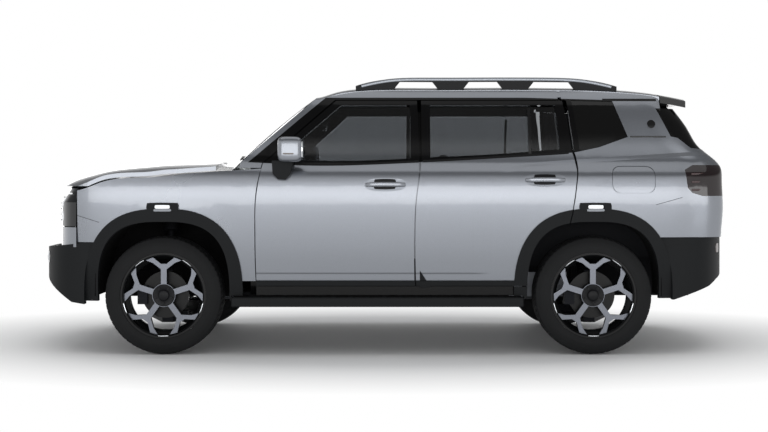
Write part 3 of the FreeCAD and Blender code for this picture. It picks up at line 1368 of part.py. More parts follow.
TYRE_LOOP = TYRE_LOOP + [
    ("Sizes.rim_dia / 2 + Sizes.tyre_wall", "%s * 0.75" % SECTION),
    ("Sizes.tyre_dia / 2 - Sizes.tyre_wall", "%s * 0.72" % SECTION),
    ("Sizes.tyre_dia / 2 - Sizes.tyre_wall", "-%s * 0.72" % SECTION),
    ("Sizes.rim_dia / 2 + Sizes.tyre_wall", "-%s * 0.75" % SECTION),
]


def make_tyre(name):
    body = new_body(name)
    revolve(body, bound_sketch(body, name + "_line", "XY_Plane", [TYRE_LOOP]), name + "_carcass")
    return body


def wheel_place(axle_x, side):
    """Side -1 is the left of the car; the wheel's outer face points outwards."""
    turn = Rotation(Vector(0, 0, 1), 0 if side < 0 else 180)
    return Placement(Vector(axle_x, side * wheel_y, tyre_radius), turn)


for label, axle_x, side in (("front_left", front_axle, -1), ("front_right", front_axle, 1),
                            ("rear_left", rear_axle, -1), ("rear_right", rear_axle, 1)):
    for maker, prefix in ((make_rim, "rim_"), (make_tyre, "tyre_")):
        body = maker(prefix + label)
        body.Placement = wheel_place(axle_x, side)
        parts.append(body)
doc.recompute()


# Front knuckles, calipers, arms and struts


def local_block(x, y, z, dx, dy, dz):
    return block(x - dx / 2, x + dx / 2, y - dy / 2, y + dy / 2, z - dz / 2, z + dz / 2)


def caliper(axle_x, turn):
    """Brake caliper over the edge of the disc, on the inner side of the wheel."""
    radius = size("disc_dia") / 2
    y_disc = -wheel_y - size("disc_offset") / 2 + size("disc_thickness") / 2
    wide = size("disc_thickness") + size("caliper_wall") * 2
    middle = Vector(axle_x + (radius - gap) * turn, y_disc, tyre_radius)
    shell = local_block(middle.x, middle.y, middle.z, size("caliper_depth"), wide,
                        size("caliper_height"))
    slot = Part.makeCylinder(radius + gap, size("disc_thickness") + gap * 2,
                             Vector(axle_x, y_disc - size("disc_thickness") / 2 - gap, tyre_radius),
                             Vector(0, 1, 0))
    return shell.cut(slot)


def carrier(axle_x, turn):
    """Hub carrier with its bearing housing and the lugs of the arms."""
    y_face = -wheel_y + size("disc_offset") + 0.3
    y_back = -kingpin_y + size("carrier_wall")
    housing = rod(Vector(axle_x, y_face, tyre_radius), Vector(axle_x, y_back, tyre_radius),
                  size("hub_dia") * 0.8)
    post = local_block(axle_x, -kingpin_y + size("carrier_wall") / 2, tyre_radius,
                       size("carrier_wall") * 1.6, size("carrier_wall"), size("carrier_height"))
    reach = size("disc_dia") / 2
    bracket = block(min(axle_x, axle_x + turn * reach), max(axle_x, axle_x + turn * reach),
                    -wheel_y + size("disc_offset") + 0.3,
                    -kingpin_y + size("carrier_wall"), tyre_radius - over / 3,
                    tyre_radius + over / 3)
    return fused([housing, post, bracket, caliper(axle_x, turn)])


knuckle = carrier(front_axle, -1)
steer_arm = block(front_axle + gap, front_axle + size("steer_arm"),
                  -kingpin_y, -kingpin_y + size("carrier_wall"),
                  tyre_radius - size("carrier_height") / 2, tyre_radius
                  - size("carrier_height") / 2 + size("carrier_wall"))
knuckle = knuckle.fuse(steer_arm)
add_shape("knuckle_left", knuckle)
add_shape("knuckle_right", mirrored(knuckle))


def lower_arm(axle_x, pivot_y, outer_end, z):
    """A-shaped arm from two pivots on the subframe to the ball joint."""
    high = size("arm_height")
    spread = size("arm_spread")
    points = [(axle_x - high, -outer_end), (axle_x + high, -outer_end),
              (axle_x + spread, -pivot_y), (axle_x + spread - high * 1.5, -pivot_y),
              (axle_x, -outer_end + high * 3.4), (axle_x - spread + high * 1.5, -pivot_y),
              (axle_x - spread, -pivot_y)]
    return plan_prism(points, z - high / 2, z + high / 2)


SPRING_SHARES = (0.62, 0.97)


def strut(low, high):
    """Damper with its spring round the upper end."""
    line = high - low
    damper = rod(low, high, size("damper_dia"))
    spring = rod(low + line * SPRING_SHARES[0], low + line * SPRING_SHARES[1],
                 size("spring_dia"))
    return damper.fuse(spring)


arm_z = tyre_radius - size("carrier_height") / 2 - size("arm_height") / 2 - 0.3
pivot_y = half_width * 0.42
front_arm = lower_arm(front_axle, pivot_y, kingpin_y, arm_z)
front_strut = strut(strut_foot, strut_head)
cross = block(front_axle - size("arm_spread") - gap, front_axle + size("arm_spread") + gap,
              -pivot_y, pivot_y, arm_z - size("arm_height") / 2, arm_z + size("arm_height") / 2)
tower = block(front_axle - size("spring_dia") * 0.7, front_axle + size("spring_dia") * 0.7,
              -half_width * 0.68, -half_width * 0.40, up(0.52), up(0.535))
rail_post = block(front_axle - over, front_axle + over, -half_width * 0.46, -half_width * 0.40,
                  up(0.33), up(0.535))
add_shape("front_suspension", fused([cross, front_arm, mirrored(front_arm), front_strut,
                                     mirrored(front_strut)]))
towers = [tower.fuse(rail_post), mirrored(tower.fuse(rail_post))]
front_structure = fused([bulkhead, cowl, cowl_top, shelf_front, crash_beam] + front_rails + towers)
add_shape("front_structure", front_structure)
rear_carrier = carrier(rear_axle, -1)
rear_arm = lower_arm(rear_axle, pivot_y, kingpin_y, arm_z)
rear_strut = strut(Vector(rear_axle, size("carrier_wall") * 1.4 - kingpin_y,
                          tyre_radius + size("arm_height")),
                   Vector(rear_axle, -half_width * 0.60, load_z - over * 0.8))
rear_cross = block(rear_axle - size("arm_spread") - gap, rear_axle + size("arm_spread") + gap,
                   -pivot_y, pivot_y, arm_z - size("arm_height") / 2,
                   arm_z + size("arm_height") * 2)
mounts = [block(rear_axle - over, rear_axle + over, y - over * 0.4, y + over * 0.4,
                arm_z + size("arm_height"), load_z - over * 1.5 - 0.3)
          for y in (-pivot_y + over, pivot_y - over)]
add_shape("rear_suspension", fused([rear_cross, rear_arm, mirrored(rear_arm), rear_carrier,
                                    mirrored(rear_carrier), rear_strut, mirrored(rear_strut)]
                                   + mounts))


# Steering wheel on its tilted column
def steering_wheel():
    centre = Vector(along(0.36), -size("seat_spread") / 2, up(0.60))
    tilt = math.radians(size("steer_tilt"))
    axis = Vector(math.cos(tilt), 0, math.sin(tilt))
    ring = Part.makeTorus(size("wheel_rim_dia") / 2, size("wheel_rim_tube") / 2, centre, axis)
    boss = Part.makeCylinder(size("wheel_rim_dia") * 0.2, over * 0.8, centre - axis * over * 0.5,
                             axis)
    spokes = []
    for degrees in (0, 180, 270):
        spoke = Part.makeBox(size("wheel_rim_tube"), size("wheel_rim_dia") / 2,
                             size("wheel_rim_tube") * 0.6,
                             Vector(-size("wheel_rim_tube") / 2, 0, -size("wheel_rim_tube") * 0.3))
        spoke.rotate(Vector(0, 0, 0), Vector(0, 0, 1), degrees)
        spoke.rotate(Vector(0, 0, 0), Vector(0, 1, 0), 90 - size("steer_tilt"))
        spoke.translate(centre)
        spokes.append(spoke)
    return fused([ring, boss] + spokes), centre, axis


wheel_shape, wheel_centre, wheel_axis = steering_wheel()
add_shape("steering_wheel", wheel_shape)
column = rod(wheel_centre - wheel_axis * over * 5, wheel_centre - wheel_axis * (over * 0.5 + 0.3),
             size("damper_dia"))
dash_feature = [item for item in parts if item.Label == "dashboard"][0]
dash_feature.Shape = dash_feature.Shape.fuse(column)

doc.recompute()
for item in doc.Objects:
    if "Invalid" in item.State or "Error" in item.State:
        raise RuntimeError("%s failed: %s" % (item.Name, item.State))
for item in parts:
    if item.Shape.isNull() or not item.Shape.isValid():
        raise RuntimeError("%s has no valid shape" % item.Label)

os.makedirs("parts", exist_ok=True)
for item in parts:
    item.Shape.exportStep("parts/%s.step" % item.Label)
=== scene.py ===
import math

import bpy
import numpy as np
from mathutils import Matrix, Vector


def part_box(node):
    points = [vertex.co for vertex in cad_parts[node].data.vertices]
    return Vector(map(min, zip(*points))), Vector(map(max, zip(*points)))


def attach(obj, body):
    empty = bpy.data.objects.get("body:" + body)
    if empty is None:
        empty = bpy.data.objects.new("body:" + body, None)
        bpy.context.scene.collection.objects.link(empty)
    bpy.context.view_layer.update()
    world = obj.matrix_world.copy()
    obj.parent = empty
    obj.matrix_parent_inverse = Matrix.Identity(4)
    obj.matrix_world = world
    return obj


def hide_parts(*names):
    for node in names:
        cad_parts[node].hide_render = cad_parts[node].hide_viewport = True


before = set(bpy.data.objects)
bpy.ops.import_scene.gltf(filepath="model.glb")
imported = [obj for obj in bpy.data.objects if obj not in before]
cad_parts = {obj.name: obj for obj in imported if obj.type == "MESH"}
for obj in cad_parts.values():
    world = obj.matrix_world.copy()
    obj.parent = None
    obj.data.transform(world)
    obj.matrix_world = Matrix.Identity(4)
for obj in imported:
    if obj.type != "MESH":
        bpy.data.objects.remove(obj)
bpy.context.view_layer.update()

bl_info = {
    "name": "Compact off-road SUV",
    "version": (1, 0, 0),
    "blender": (4, 5, 0),
    "location": "3D View > Sidebar > Vehicle",
    "description": "Dresses the packed car with its finishes, tyres, seats, lamps and trim",
    "category": "Object",
}

# Main sizes in metres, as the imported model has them
FRONT_OVERHANG, WHEELBASE, REAR_OVERHANG = 0.846, 2.700, 0.924
HEIGHT, HALF_WIDTH = 1.765, 0.940
FRONT_AXLE, REAR_AXLE = -1.389, 1.311
AXLE_Z, WHEEL_Y = 0.3715, 0.800
TYRE_RADIUS, TYRE_HALF, RIM_RADIUS = 0.3715, 0.1175, 0.269
NOSE_BACK, NOSE_POWER, TAIL_BACK, TAIL_CROWN = -1.8628, 2.8, 1.8284, 0.034
FASCIA_REACH, BUMPER_REACH, TAIL_REACH = 0.2707, 0.3722, 0.4066
CLADDING_PROUD, ROOF_DROP, NOSE_LEAN = 0.012, 0.033, 0.070
SIDES = (("left", -1), ("right", 1))

# The body's own curves as shares of height, half width and length
SIDE_ROWS = [(0.16, 0.925), (0.262, 0.950), (0.34, 0.972), (0.43, 0.988), (0.52, 0.998),
             (0.575, 1.0), (0.62, 0.993), (0.655, 0.968), (0.678, 0.925), (0.70, 0.902),
             (0.75, 0.878), (0.80, 0.850), (0.85, 0.818), (0.90, 0.772), (0.935, 0.715),
             (0.955, 0.665)]
PLAN_ROWS = [(-1.0, 0.80), (-0.85, 0.885), (-0.65, 0.95), (-0.4, 0.985), (0.0, 0.995),
             (0.5, 1.0), (1.0, 0.998), (1.4, 0.985), (1.7, 0.955), (1.9, 0.915), (2.0, 0.88)]
ROOF_ROWS = [(0.36, 0.935), (0.383, 0.9455), (0.407, 0.9560), (0.436, 0.9633), (0.60, 0.9700),
             (0.80, 0.9710), (1.0, 0.9680), (1.236, 0.9610), (1.463, 0.9480), (1.70, 0.9240)]
TAIL_ROWS = [(0.30, 1.925), (0.4378, 1.925), (0.5262, 1.935), (0.5668, 1.932), (0.64, 1.930),
             (0.6774, 1.922), (0.695, 1.895), (0.7364, 1.800), (0.80, 1.725), (0.8802, 1.625),
             (0.93, 1.560)]
BELT_ROWS = [(-0.90, 1.212), (-0.84, 1.208), (-0.438, 1.189), (0.098, 1.2045), (0.35, 1.217),
             (0.729, 1.239), (1.044, 1.258), (1.20, 1.271), (1.36, 1.305), (1.54, 1.369)]


def spline(rows):
    """Natural cubic through rows of (at, value), evaluated on whole arrays."""
    at, value = np.array(rows, float).T
    step = np.diff(at)
    count = len(at)
    matrix, right = np.eye(count), np.zeros(count)
    for i in range(1, count - 1):
        matrix[i, i - 1:i + 2] = step[i - 1], 2 * (step[i - 1] + step[i]), step[i]
        slopes = (value[i:i + 2] - value[i - 1:i + 1]) / step[i - 1:i + 1]
        right[i] = 6 * (slopes[1] - slopes[0])
    bend = np.linalg.solve(matrix, right)

    def curve(x):
        x = np.asarray(x, float)
        i = np.clip(np.searchsorted(at, x) - 1, 0, count - 2)
        left = (at[i + 1] - x) / step[i]
        near = 1 - left
        bent = (left ** 3 - left) * bend[i] + (near ** 3 - near) * bend[i + 1]
        return left * value[i] + near * value[i + 1] + bent * step[i] ** 2 / 6

    return curve


side_curve, plan_curve, roof_curve = spline(SIDE_ROWS), spline(PLAN_ROWS), spline(ROOF_ROWS)
tail_curve, belt_curve = spline(TAIL_ROWS), spline(BELT_ROWS)


def share(x):
    """Length share: -1 nose, 0 front axle, 1 rear axle, 2 tail."""
    x = np.asarray(x, float)
    middle = (x - FRONT_AXLE) / WHEELBASE
    return np.where(x < FRONT_AXLE, (x - FRONT_AXLE) / FRONT_OVERHANG,
                    np.where(x > REAR_AXLE, 1 + (x - REAR_AXLE) / REAR_OVERHANG, middle))


def side_y(x, z):
    """Half width of the body skin: height curve times plan curve."""
    return HALF_WIDTH * side_curve(np.asarray(z) / HEIGHT) * plan_curve(share(x))


def roof_z(x, y):
    """Height of the roof skin: its centre line less a drop that grows as the 7th power of y."""
    centre = HEIGHT * roof_curve(share(x))
    half = side_y(x, centre - ROOF_DROP)
    return centre - ROOF_DROP * np.clip(np.abs(y) / half, 0, 1) ** 7


def tail_x(y, z):
    """Rear skin: the tail curve less a crown that grows as the square of y."""
    behind = tail_curve(np.asarray(z) / HEIGHT)
    x = np.where(behind > 1, REAR_AXLE + (behind - 1) * REAR_OVERHANG, 0)
    return x - TAIL_CROWN * (np.abs(y) / HALF_WIDTH) ** 2


def end_x(y, back, reach, half, side):
    """Bent nose or tail in plan: a superellipse of power 2.8 about its back line."""
    across = np.clip(np.abs(y) / half, 0, 1)
    return back + side * reach * (1 - across ** NOSE_POWER) ** (1 / NOSE_POWER)


def nose_x(y, z):
    """Face of the grille and lamps: the fascia's plan, leaning back above its lamps' middle."""
    lean = NOSE_LEAN * np.clip((np.asarray(z) / HEIGHT - 0.542) / 0.058, 0, 1)
    return end_x(y, NOSE_BACK, FASCIA_REACH, FASCIA_HALF, -1) + lean


FASCIA_HALF = float(side_y(NOSE_BACK, 0.5 * HEIGHT))
BUMPER_HALF = float(side_y(NOSE_BACK, 0.34 * HEIGHT)) + CLADDING_PROUD
TAIL_HALF = float(side_y(TAIL_BACK, 0.34 * HEIGHT)) + CLADDING_PROUD


# Forms: vertices with their faces, made from whole grids of points
def quads_of(index):
    """Four-cornered faces between the neighbours of a grid of vertex numbers."""
    return np.stack([index[:-1, :-1], index[1:, :-1], index[1:, 1:], index[:-1, 1:]],
                    axis=-1).reshape(-1, 4)


def outward(points, faces):
    """Turns a closed form's faces round when its signed volume is negative."""
    volume = 0.0
    for group in faces:
        first = points[group[:, 0]]
        for k in range(1, group.shape[1] - 1):
            volume += np.einsum("ij,ij->i", first,
                                np.cross(points[group[:, k]], points[group[:, k + 1]])).sum()
    return points, [group[:, ::-1] for group in faces] if volume < 0 else faces


def plate(outer, inner):
    """Closed plate between two like grids of points."""
    rows, columns = outer.shape[:2]
    points = np.concatenate([outer.reshape(-1, 3), inner.reshape(-1, 3)])
    index = np.arange(rows * columns).reshape(rows, columns)
    behind = rows * columns
    rim = np.concatenate([index[:, 0], index[-1, 1:], index[-2::-1, -1], index[0, -2:0:-1]])
    following = np.roll(rim, -1)
    sides = np.stack([following, rim, rim + behind, following + behind], axis=-1)
    return outward(points, [quads_of(index), quads_of(index)[:, ::-1] + behind, sides])


def capped(rings):
    """Closed form through rings of points, each end closed with a fan."""
    rows, columns = rings.shape[:2]
    index = np.arange(rows * columns).reshape(rows, columns)
    index = np.hstack([index, index[:, :1]])
    points = np.concatenate([rings.reshape(-1, 3), rings[:1].mean(1), rings[-1:].mean(1)])
    last = rows * columns
    first_fan = np.stack([index[0, 1:], index[0, :-1], np.full(columns, last)], axis=-1)
    last_fan = np.stack([index[-1, :-1], index[-1, 1:], np.full(columns, last + 1)], axis=-1)
    return outward(points, [quads_of(index), first_fan, last_fan])


def looped(rings):
    """Closed form through rings whose last one meets the first."""
    rows, columns = rings.shape[:2]
    index = np.arange(rows * columns).reshape(rows, columns)
    index = np.vstack([index, index[:1]])
    index = np.hstack([index, index[:, :1]])
    return outward(rings.reshape(-1, 3), [quads_of(index)])


def mirrored(form):
    """The form's mirror image across the middle plane."""
    points, faces = form
    return points * (1, -1, 1), [group[:, ::-1] for group in faces]


def sided(form, side):
    """A form drawn for the left side, mirrored for the right."""
    return form if side < 0 else mirrored(form)


def both(forms):
    """Forms of the left side, then their mirror images on the right."""
    return [sided(form, side) for side in (-1, 1) for form in forms]


def skin_points(xs, zs, lift=0.0):
    """Points on the body's left side, lifted off the skin."""
    return np.stack([xs, -(side_y(xs, zs) + lift), zs], axis=-1)


def oval(half_wide, half_high, count=24, power=2.0):
    """Closed outline of a superellipse of the given power."""
    turn = np.linspace(0, 2 * np.pi, count, endpoint=False)
    wide = np.sign(np.cos(turn)) * np.abs(np.cos(turn)) ** (2 / power)
    high = np.sign(np.sin(turn)) * np.abs(np.sin(turn)) ** (2 / power)
    return np.stack([wide * half_wide, high * half_high], axis=-1)


def swept(path, outline, up=(0, 0, 1), scale=None, closed=False):
    """An outline carried along a path, upright to the given direction."""
    path = np.asarray(path, float)
    if closed:
        along = np.roll(path, -1, 0) - np.roll(path, 1, 0)
    else:
        along = np.gradient(path, axis=0)
    along /= np.linalg.norm(along, axis=1, keepdims=True)
    across = np.cross(along, np.asarray(up, float))
    across /= np.linalg.norm(across, axis=1, keepdims=True)
    high = np.cross(across, along)
    size = np.ones(len(path)) if scale is None else np.asarray(scale, float)
    rings = (path[:, None] + outline[None, :, :1] * across[:, None] * size[:, None, None]
             + outline[None, :, 1:] * high[:, None] * size[:, None, None])
    return looped(rings) if closed else capped(rings)


def turned(profile, centre, axis, count=48, closed=False):
    """A profile of (radius, offset) turned about an axis."""
    axis = np.asarray(axis, float) / np.linalg.norm(axis)
    start = np.cross(axis, (0.0, 0.0, 1.0) if abs(axis[2]) < 0.9 else (1.0, 0.0, 0.0))
    start /= np.linalg.norm(start)
    other = np.cross(axis, start)
    turn = np.linspace(0, 2 * np.pi, count, endpoint=False)
    ring = np.cos(turn)[:, None] * start + np.sin(turn)[:, None] * other
    profile = np.asarray(profile, float)
    rings = (np.asarray(centre, float) + profile[:, None, :1] * ring[None]
             + profile[:, None, 1:] * axis)
    return looped(rings) if closed else capped(rings)


def pad(half_wide, half_high, corner=0.5, count=13):
    """Square grid mapped to a rounded rectangle: corner 0 is square and 1 is round."""
    s, t = np.meshgrid(np.linspace(-1, 1, count), np.linspace(-1, 1, count), indexing="ij")
    return (half_wide * s * np.sqrt(1 - corner * t * t / 2),
            half_high * t * np.sqrt(1 - corner * s * s / 2), np.maximum(np.abs(s), np.abs(t)))


def side_pad(x, z, half_wide, half_high, lift, wall, corner=0.5, dome=0.0, lean=0.0, count=13):
    """Plate on the body's left side, lifted off the skin, domed in its middle."""
    wide, high, edge = pad(half_wide, half_high, corner, count)
    xs, zs = x + wide + lean * high, z + high
    raised = lift + dome * (1 - edge ** 2)
    return plate(skin_points(xs, zs, raised), skin_points(xs, zs, lift - wall))


def end_pad(y, z, half_wide, half_high, place, lift, wall, corner=0.5, dome=0.0, count=13):
    """Plate on the nose or tail, whose place is a function of y and z, facing side."""
    skin, side = place
    wide, high, edge = pad(half_wide, half_high, corner, count)
    ys, zs = y + wide, z + high
    xs = skin(ys, zs)
    raised = lift + dome * (1 - edge ** 2)
    outer = np.stack([xs + side * raised, ys, zs], axis=-1)
    inner = np.stack([xs + side * (lift - wall), ys, zs], axis=-1)
    return plate(outer, inner)


on_fascia = (nose_x, -1)
on_front_bumper = (lambda y, z: end_x(y, NOSE_BACK, BUMPER_REACH, BUMPER_HALF, -1), -1)
on_rear_bumper = (lambda y, z: end_x(y, TAIL_BACK, TAIL_REACH, TAIL_HALF, 1), 1)
on_tail = (tail_x, 1)


def cushion(centre, size, lean=0.0, crown=0.18, power=3.2, rows=17, columns=40):
    """Crowned pad: a superellipsoid whose sides pull in between the corners, leaned about Y."""
    rise = np.linspace(-np.pi / 2, np.pi / 2, rows + 2)[1:-1]
    turn = np.linspace(0, 2 * np.pi, columns, endpoint=False)
    rise, turn = np.meshgrid(rise, turn, indexing="ij")

    def soft(value, exponent):
        return np.sign(value) * np.abs(value) ** exponent

    round_share = 2 / power
    x = soft(np.cos(rise), round_share) * soft(np.cos(turn), round_share)
    y = soft(np.cos(rise), round_share) * soft(np.sin(turn), round_share)
    z = soft(np.sin(rise), round_share)
    z = z * (1 - crown * (x ** 2 + y ** 2) / 2)
    waist = 1 - 0.035 * (1 - np.abs(soft(np.cos(turn * 2), 1.0)))
    x, y = x * waist * size[0] / 2, y * waist * size[1] / 2
    z = z * size[2] / 2
    turned_x = x * math.cos(lean) + z * math.sin(lean)
    turned_z = -x * math.sin(lean) + z * math.cos(lean)
    return capped(np.stack([turned_x + centre[0], y + centre[1], turned_z + centre[2]], axis=-1))


def piece(name, forms, finish, body, crease=40, replaces=()):
    """Puts forms into one mesh object with a named finish, riding on a body of the car."""
    points, faces, start = [], [], 0
    for form_points, form_faces in forms:
        points.append(form_points)
        faces += [row for group in form_faces for row in (group + start).tolist()]
        start += len(form_points)
    mesh = bpy.data.meshes.new(name)
    mesh.from_pydata(np.concatenate(points).tolist(), [], faces)
    mesh.shade_smooth()
    mesh.set_sharp_from_angle(angle=math.radians(crease))
    mesh.materials.append(finishes[finish])
    made = bpy.data.objects.new(name, mesh)
    bpy.context.scene.collection.objects.link(made)
    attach(made, body)
    if replaces:
        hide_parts(*replaces)
    return made


# Colours and nodes
def linear(code):
    """An sRGB hex value as linear red, green and blue."""
    value = np.array([int(code[i:i + 2], 16) for i in (1, 3, 5)]) / 255
    low, high = value / 12.92, ((value + 0.055) / 1.055) ** 2.4
    return tuple(float(v) for v in np.where(value <= 0.04045, low, high))


def rgba(code):
    """The same value with full opacity."""
    return linear(code) + (1.0,)


def shaded(colour, share):
    """A colour made darker by a share, with full opacity."""
    return tuple(v * share for v in colour[:3]) + (1.0,)


def add(tree, kind, inputs=None, **settings):
    """Adds a node with its settings, values and links."""
    node = tree.nodes.new(kind)
    for key, value in settings.items():
        setattr(node, key, value)
    for key, value in (inputs or {}).items():
        if isinstance(value, bpy.types.NodeSocket):
            tree.links.new(value, node.inputs[key])
        else:
            node.inputs[key].default_value = value
    return node


def start_finish(name, **shader_values):
    """A material with one Principled shader, and the socket of object coordinates."""
    material = bpy.data.materials.new(name)
    material.use_nodes = True
    tree = material.node_tree
    tree.nodes.clear()
    shader = add(tree, "ShaderNodeBsdfPrincipled", shader_values)
    add(tree, "ShaderNodeOutputMaterial", {"Surface": shader.outputs["BSDF"]})
    place = add(tree, "ShaderNodeTexCoord").outputs["Object"]
    return material, tree, shader, place


RANGED_INPUTS = {"rough": "Roughness", "metallic": "Metallic", "coat": "Coat Weight"}


def follow(tree, shader, pattern, **ranges):
    """Lets the shader's inputs follow a pattern from 0 to 1.

    The base goes from one colour to another, and rough, metallic and coat from one value to
    another. Relief is the height in metres by which the pattern seems to stand up.
    """
    for key, ends in ranges.items():
        if key == "base":
            mix = add(tree, "ShaderNodeMix", {0: pattern, 6: ends[0], 7: ends[1]},
                      data_type="RGBA")
            tree.links.new(mix.outputs[2], shader.inputs["Base Color"])
        elif key == "relief":
            raised = add(tree, "ShaderNodeBump", {"Height": pattern, "Distance": ends,
                                                  "Strength": 1.0})
            tree.links.new(raised.outputs["Normal"], shader.inputs["Normal"])
        else:
            mapped = add(tree, "ShaderNodeMapRange", {"Value": pattern, "To Min": ends[0],
                                                      "To Max": ends[1]})
            tree.links.new(mapped.outputs["Result"], shader.inputs[RANGED_INPUTS[key]])


def grained(tree, shader, place, period, detail, **ranges):
    """Inputs that follow noise whose features are about one period across, in metres."""
    noise = add(tree, "ShaderNodeTexNoise", {"Vector": place, "Scale": 1.0 / period,
                                             "Detail": detail})
    follow(tree, shader, noise.outputs["Fac"], **ranges)


def combined(tree, masks, operation="MULTIPLY"):
    """Several masks taken together by one operation."""
    result = masks[0]
    for mask in masks[1:]:
        result = add(tree, "ShaderNodeMath", {0: result, 1: mask}, operation=operation).outputs[0]
    return result


def inside(tree, place, planes):
    """1 where a place lies inside all of the half planes, and 0 elsewhere."""
    tests = []
    for slopes, level in planes:
        height = add(tree, "ShaderNodeVectorMath", {0: place, 1: slopes}, operation="DOT_PRODUCT")
        tests.append(add(tree, "ShaderNodeMath", {0: height.outputs["Value"], 1: level},
                         operation="GREATER_THAN").outputs[0])
    return combined(tree, tests)


# Half planes, each as slopes and the level that a place's dot product with them is over
def over(axis, level):
    """The half plane over a level of one axis."""
    return tuple(float(name == axis) for name in "xyz"), level


def under(axis, level):
    """The half plane under a level of one axis."""
    return tuple(-float(name == axis) for name in "xyz"), -level


def line_above(start, end):
    """The half plane above a line through two points of X and Z."""
    slope = (end[1] - start[1]) / (end[0] - start[0])
    return (-slope, 0.0, 1.0), start[1] - slope * start[0]


def line_below(start, end):
    """The half plane below a line through two points of X and Z."""
    slopes, level = line_above(start, end)
    return tuple(-v for v in slopes), -level


class VehicleColours(bpy.types.PropertyGroup):
    """Colours of the car's finishes."""
    silver: bpy.props.FloatVectorProperty(name="Silver", description="Metallic basecoat",
                                          subtype="COLOR", default=linear("#84888F"))
    cladding: bpy.props.FloatVectorProperty(name="Cladding", description="Grained moulding",
                                            subtype="COLOR", default=linear("#141618"))
    gloss_black: bpy.props.FloatVectorProperty(name="Gloss black", description="Pillar paint",
                                               subtype="COLOR", default=linear("#060607"))
    machined: bpy.props.FloatVectorProperty(name="Machined rim", description="Turned rim faces",
                                            subtype="COLOR", default=linear("#6C6F76"))
    seat_cloth: bpy.props.FloatVectorProperty(name="Seat cloth", description="Woven seat cloth",
                                              subtype="COLOR", default=linear("#1E1F22"))
    tint: bpy.props.FloatVectorProperty(name="Glass tint", description="Front door glass",
                                        subtype="COLOR", default=linear("#8B8E91"))


class VehicleSizes(bpy.types.PropertyGroup):
    """Sizes that a user may want to change."""
    tread_depth: bpy.props.FloatProperty(name="Tread depth", description="Depth of the grooves",
                                         unit="LENGTH", default=0.007)
    groove_width: bpy.props.FloatProperty(name="Groove width", description="Main groove width",
                                          unit="LENGTH", default=0.009)
    step_pad_pitch: bpy.props.FloatProperty(name="Step pad pitch",
                                            description="Distance between the step's pads",
                                            unit="LENGTH", default=0.1055)
    handle_length: bpy.props.FloatProperty(name="Handle length", description="Grip's length",
                                           unit="LENGTH", default=0.245)
    lens: bpy.props.FloatProperty(name="Lens", description="Camera lens in millimetres",
                                  default=59.0)


def colours():
    return bpy.context.scene.vehicle_colours


def sizes():
    return bpy.context.scene.vehicle_sizes


finishes = {}


def colour4(name):
    """A colour of the property group with full opacity."""
    return tuple(getattr(colours(), name)) + (1.0,)


def silver_paint(name, zones=(), creases=False):
    """Metallic basecoat under clear lacquer: sprayed flake, a sharp reflection over a soft one.

    Each zone is a list of half planes; inside all of them the paint is gloss black instead.
    """
    metallic, rough, coat, black_rough = 0.82, 0.28, 0.9, 0.12
    material, tree, shader, place = start_finish(name, **{
        "Metallic": metallic, "IOR": 1.5, "Coat Weight": coat, "Coat Roughness": 0.05,
        "Specular IOR Level": 0.2})
    # Flake of about 0.05 mm can't show, so it's drawn 3 mm across and very faint.
    noise = add(tree, "ShaderNodeTexNoise", {"Vector": place, "Scale": 1 / 0.003, "Detail": 1.0})
    flake = add(tree, "ShaderNodeMapRange", {"Value": noise.outputs["Fac"], "From Min": 0.35,
                                             "From Max": 0.65})
    silver = colour4("silver")
    base = add(tree, "ShaderNodeMix", {0: flake.outputs["Result"], 6: shaded(silver, 0.93),
                                       7: silver}, data_type="RGBA").outputs[2]
    if zones:
        mask = combined(tree, [inside(tree, place, zone) for zone in zones], "MAXIMUM")
        follow(tree, shader, mask, base=(base, colour4("gloss_black")), metallic=(metallic, 0.0),
               coat=(coat, 0.0), rough=(rough, black_rough))
    else:
        tree.links.new(base, shader.inputs["Base Color"])
        grained(tree, shader, place, 0.35, 2.0, rough=(rough - 0.03, rough + 0.03))
    if creases:
        follow(tree, shader, pressed_lines(tree, place), relief=0.006)
    return material


HAUNCH_LINE = ((0.7527, 1.147), (0.909, 1.197), (1.202, 1.2157), (1.846, 1.2656))


def pressed_lines(tree, place):
    """Height of the pressed creases: the haunch over the rear wheel and a line low on the doors.

    Each is a soft step across a straight line of X and Z, faded in along X.
    """
    axes = add(tree, "ShaderNodeSeparateXYZ", {"Vector": place}).outputs
    half_step = 0.012
    rows = [(axes["X"], 0.70, 0.95, 0.0, 1.0), (axes["Z"], 0.506, 0.516, 0.0, 0.6),
            (axes["X"], 0.56, 0.66, 1.0, 0.0)]
    for start, end in zip(HAUNCH_LINE[:-1], HAUNCH_LINE[1:]):
        slopes, level = line_above(start, end)
        height = add(tree, "ShaderNodeVectorMath", {0: place, 1: slopes}, operation="DOT_PRODUCT")
        rows.append((height.outputs["Value"], level - half_step, level + half_step, 1.0, 0.0))
    names = ("Value", "From Min", "From Max", "To Min", "To Max")
    behind, above_low_line, ahead, *steps = [
        add(tree, "ShaderNodeMapRange", dict(zip(names, row))).outputs["Result"] for row in rows]
    haunch = combined(tree, [combined(tree, steps, "MINIMUM"), behind])
    return combined(tree, [haunch, combined(tree, [above_low_line, ahead])], "ADD")


def moulded(name, code, period=0.0022, rough=(0.52, 0.68), height=0.00018):
    """Moulded polypropylene: an even leather-like grain, dull and slightly uneven."""
    material, tree, shader, place = start_finish(name, **{"IOR": 1.46,
                                                          "Specular IOR Level": 0.2})
    light = rgba(code) if isinstance(code, str) else code
    grained(tree, shader, place, 0.12, 2.0, base=(shaded(light, 0.82), light))
    grained(tree, shader, place, period, 4.0, rough=rough, relief=height)
    return material


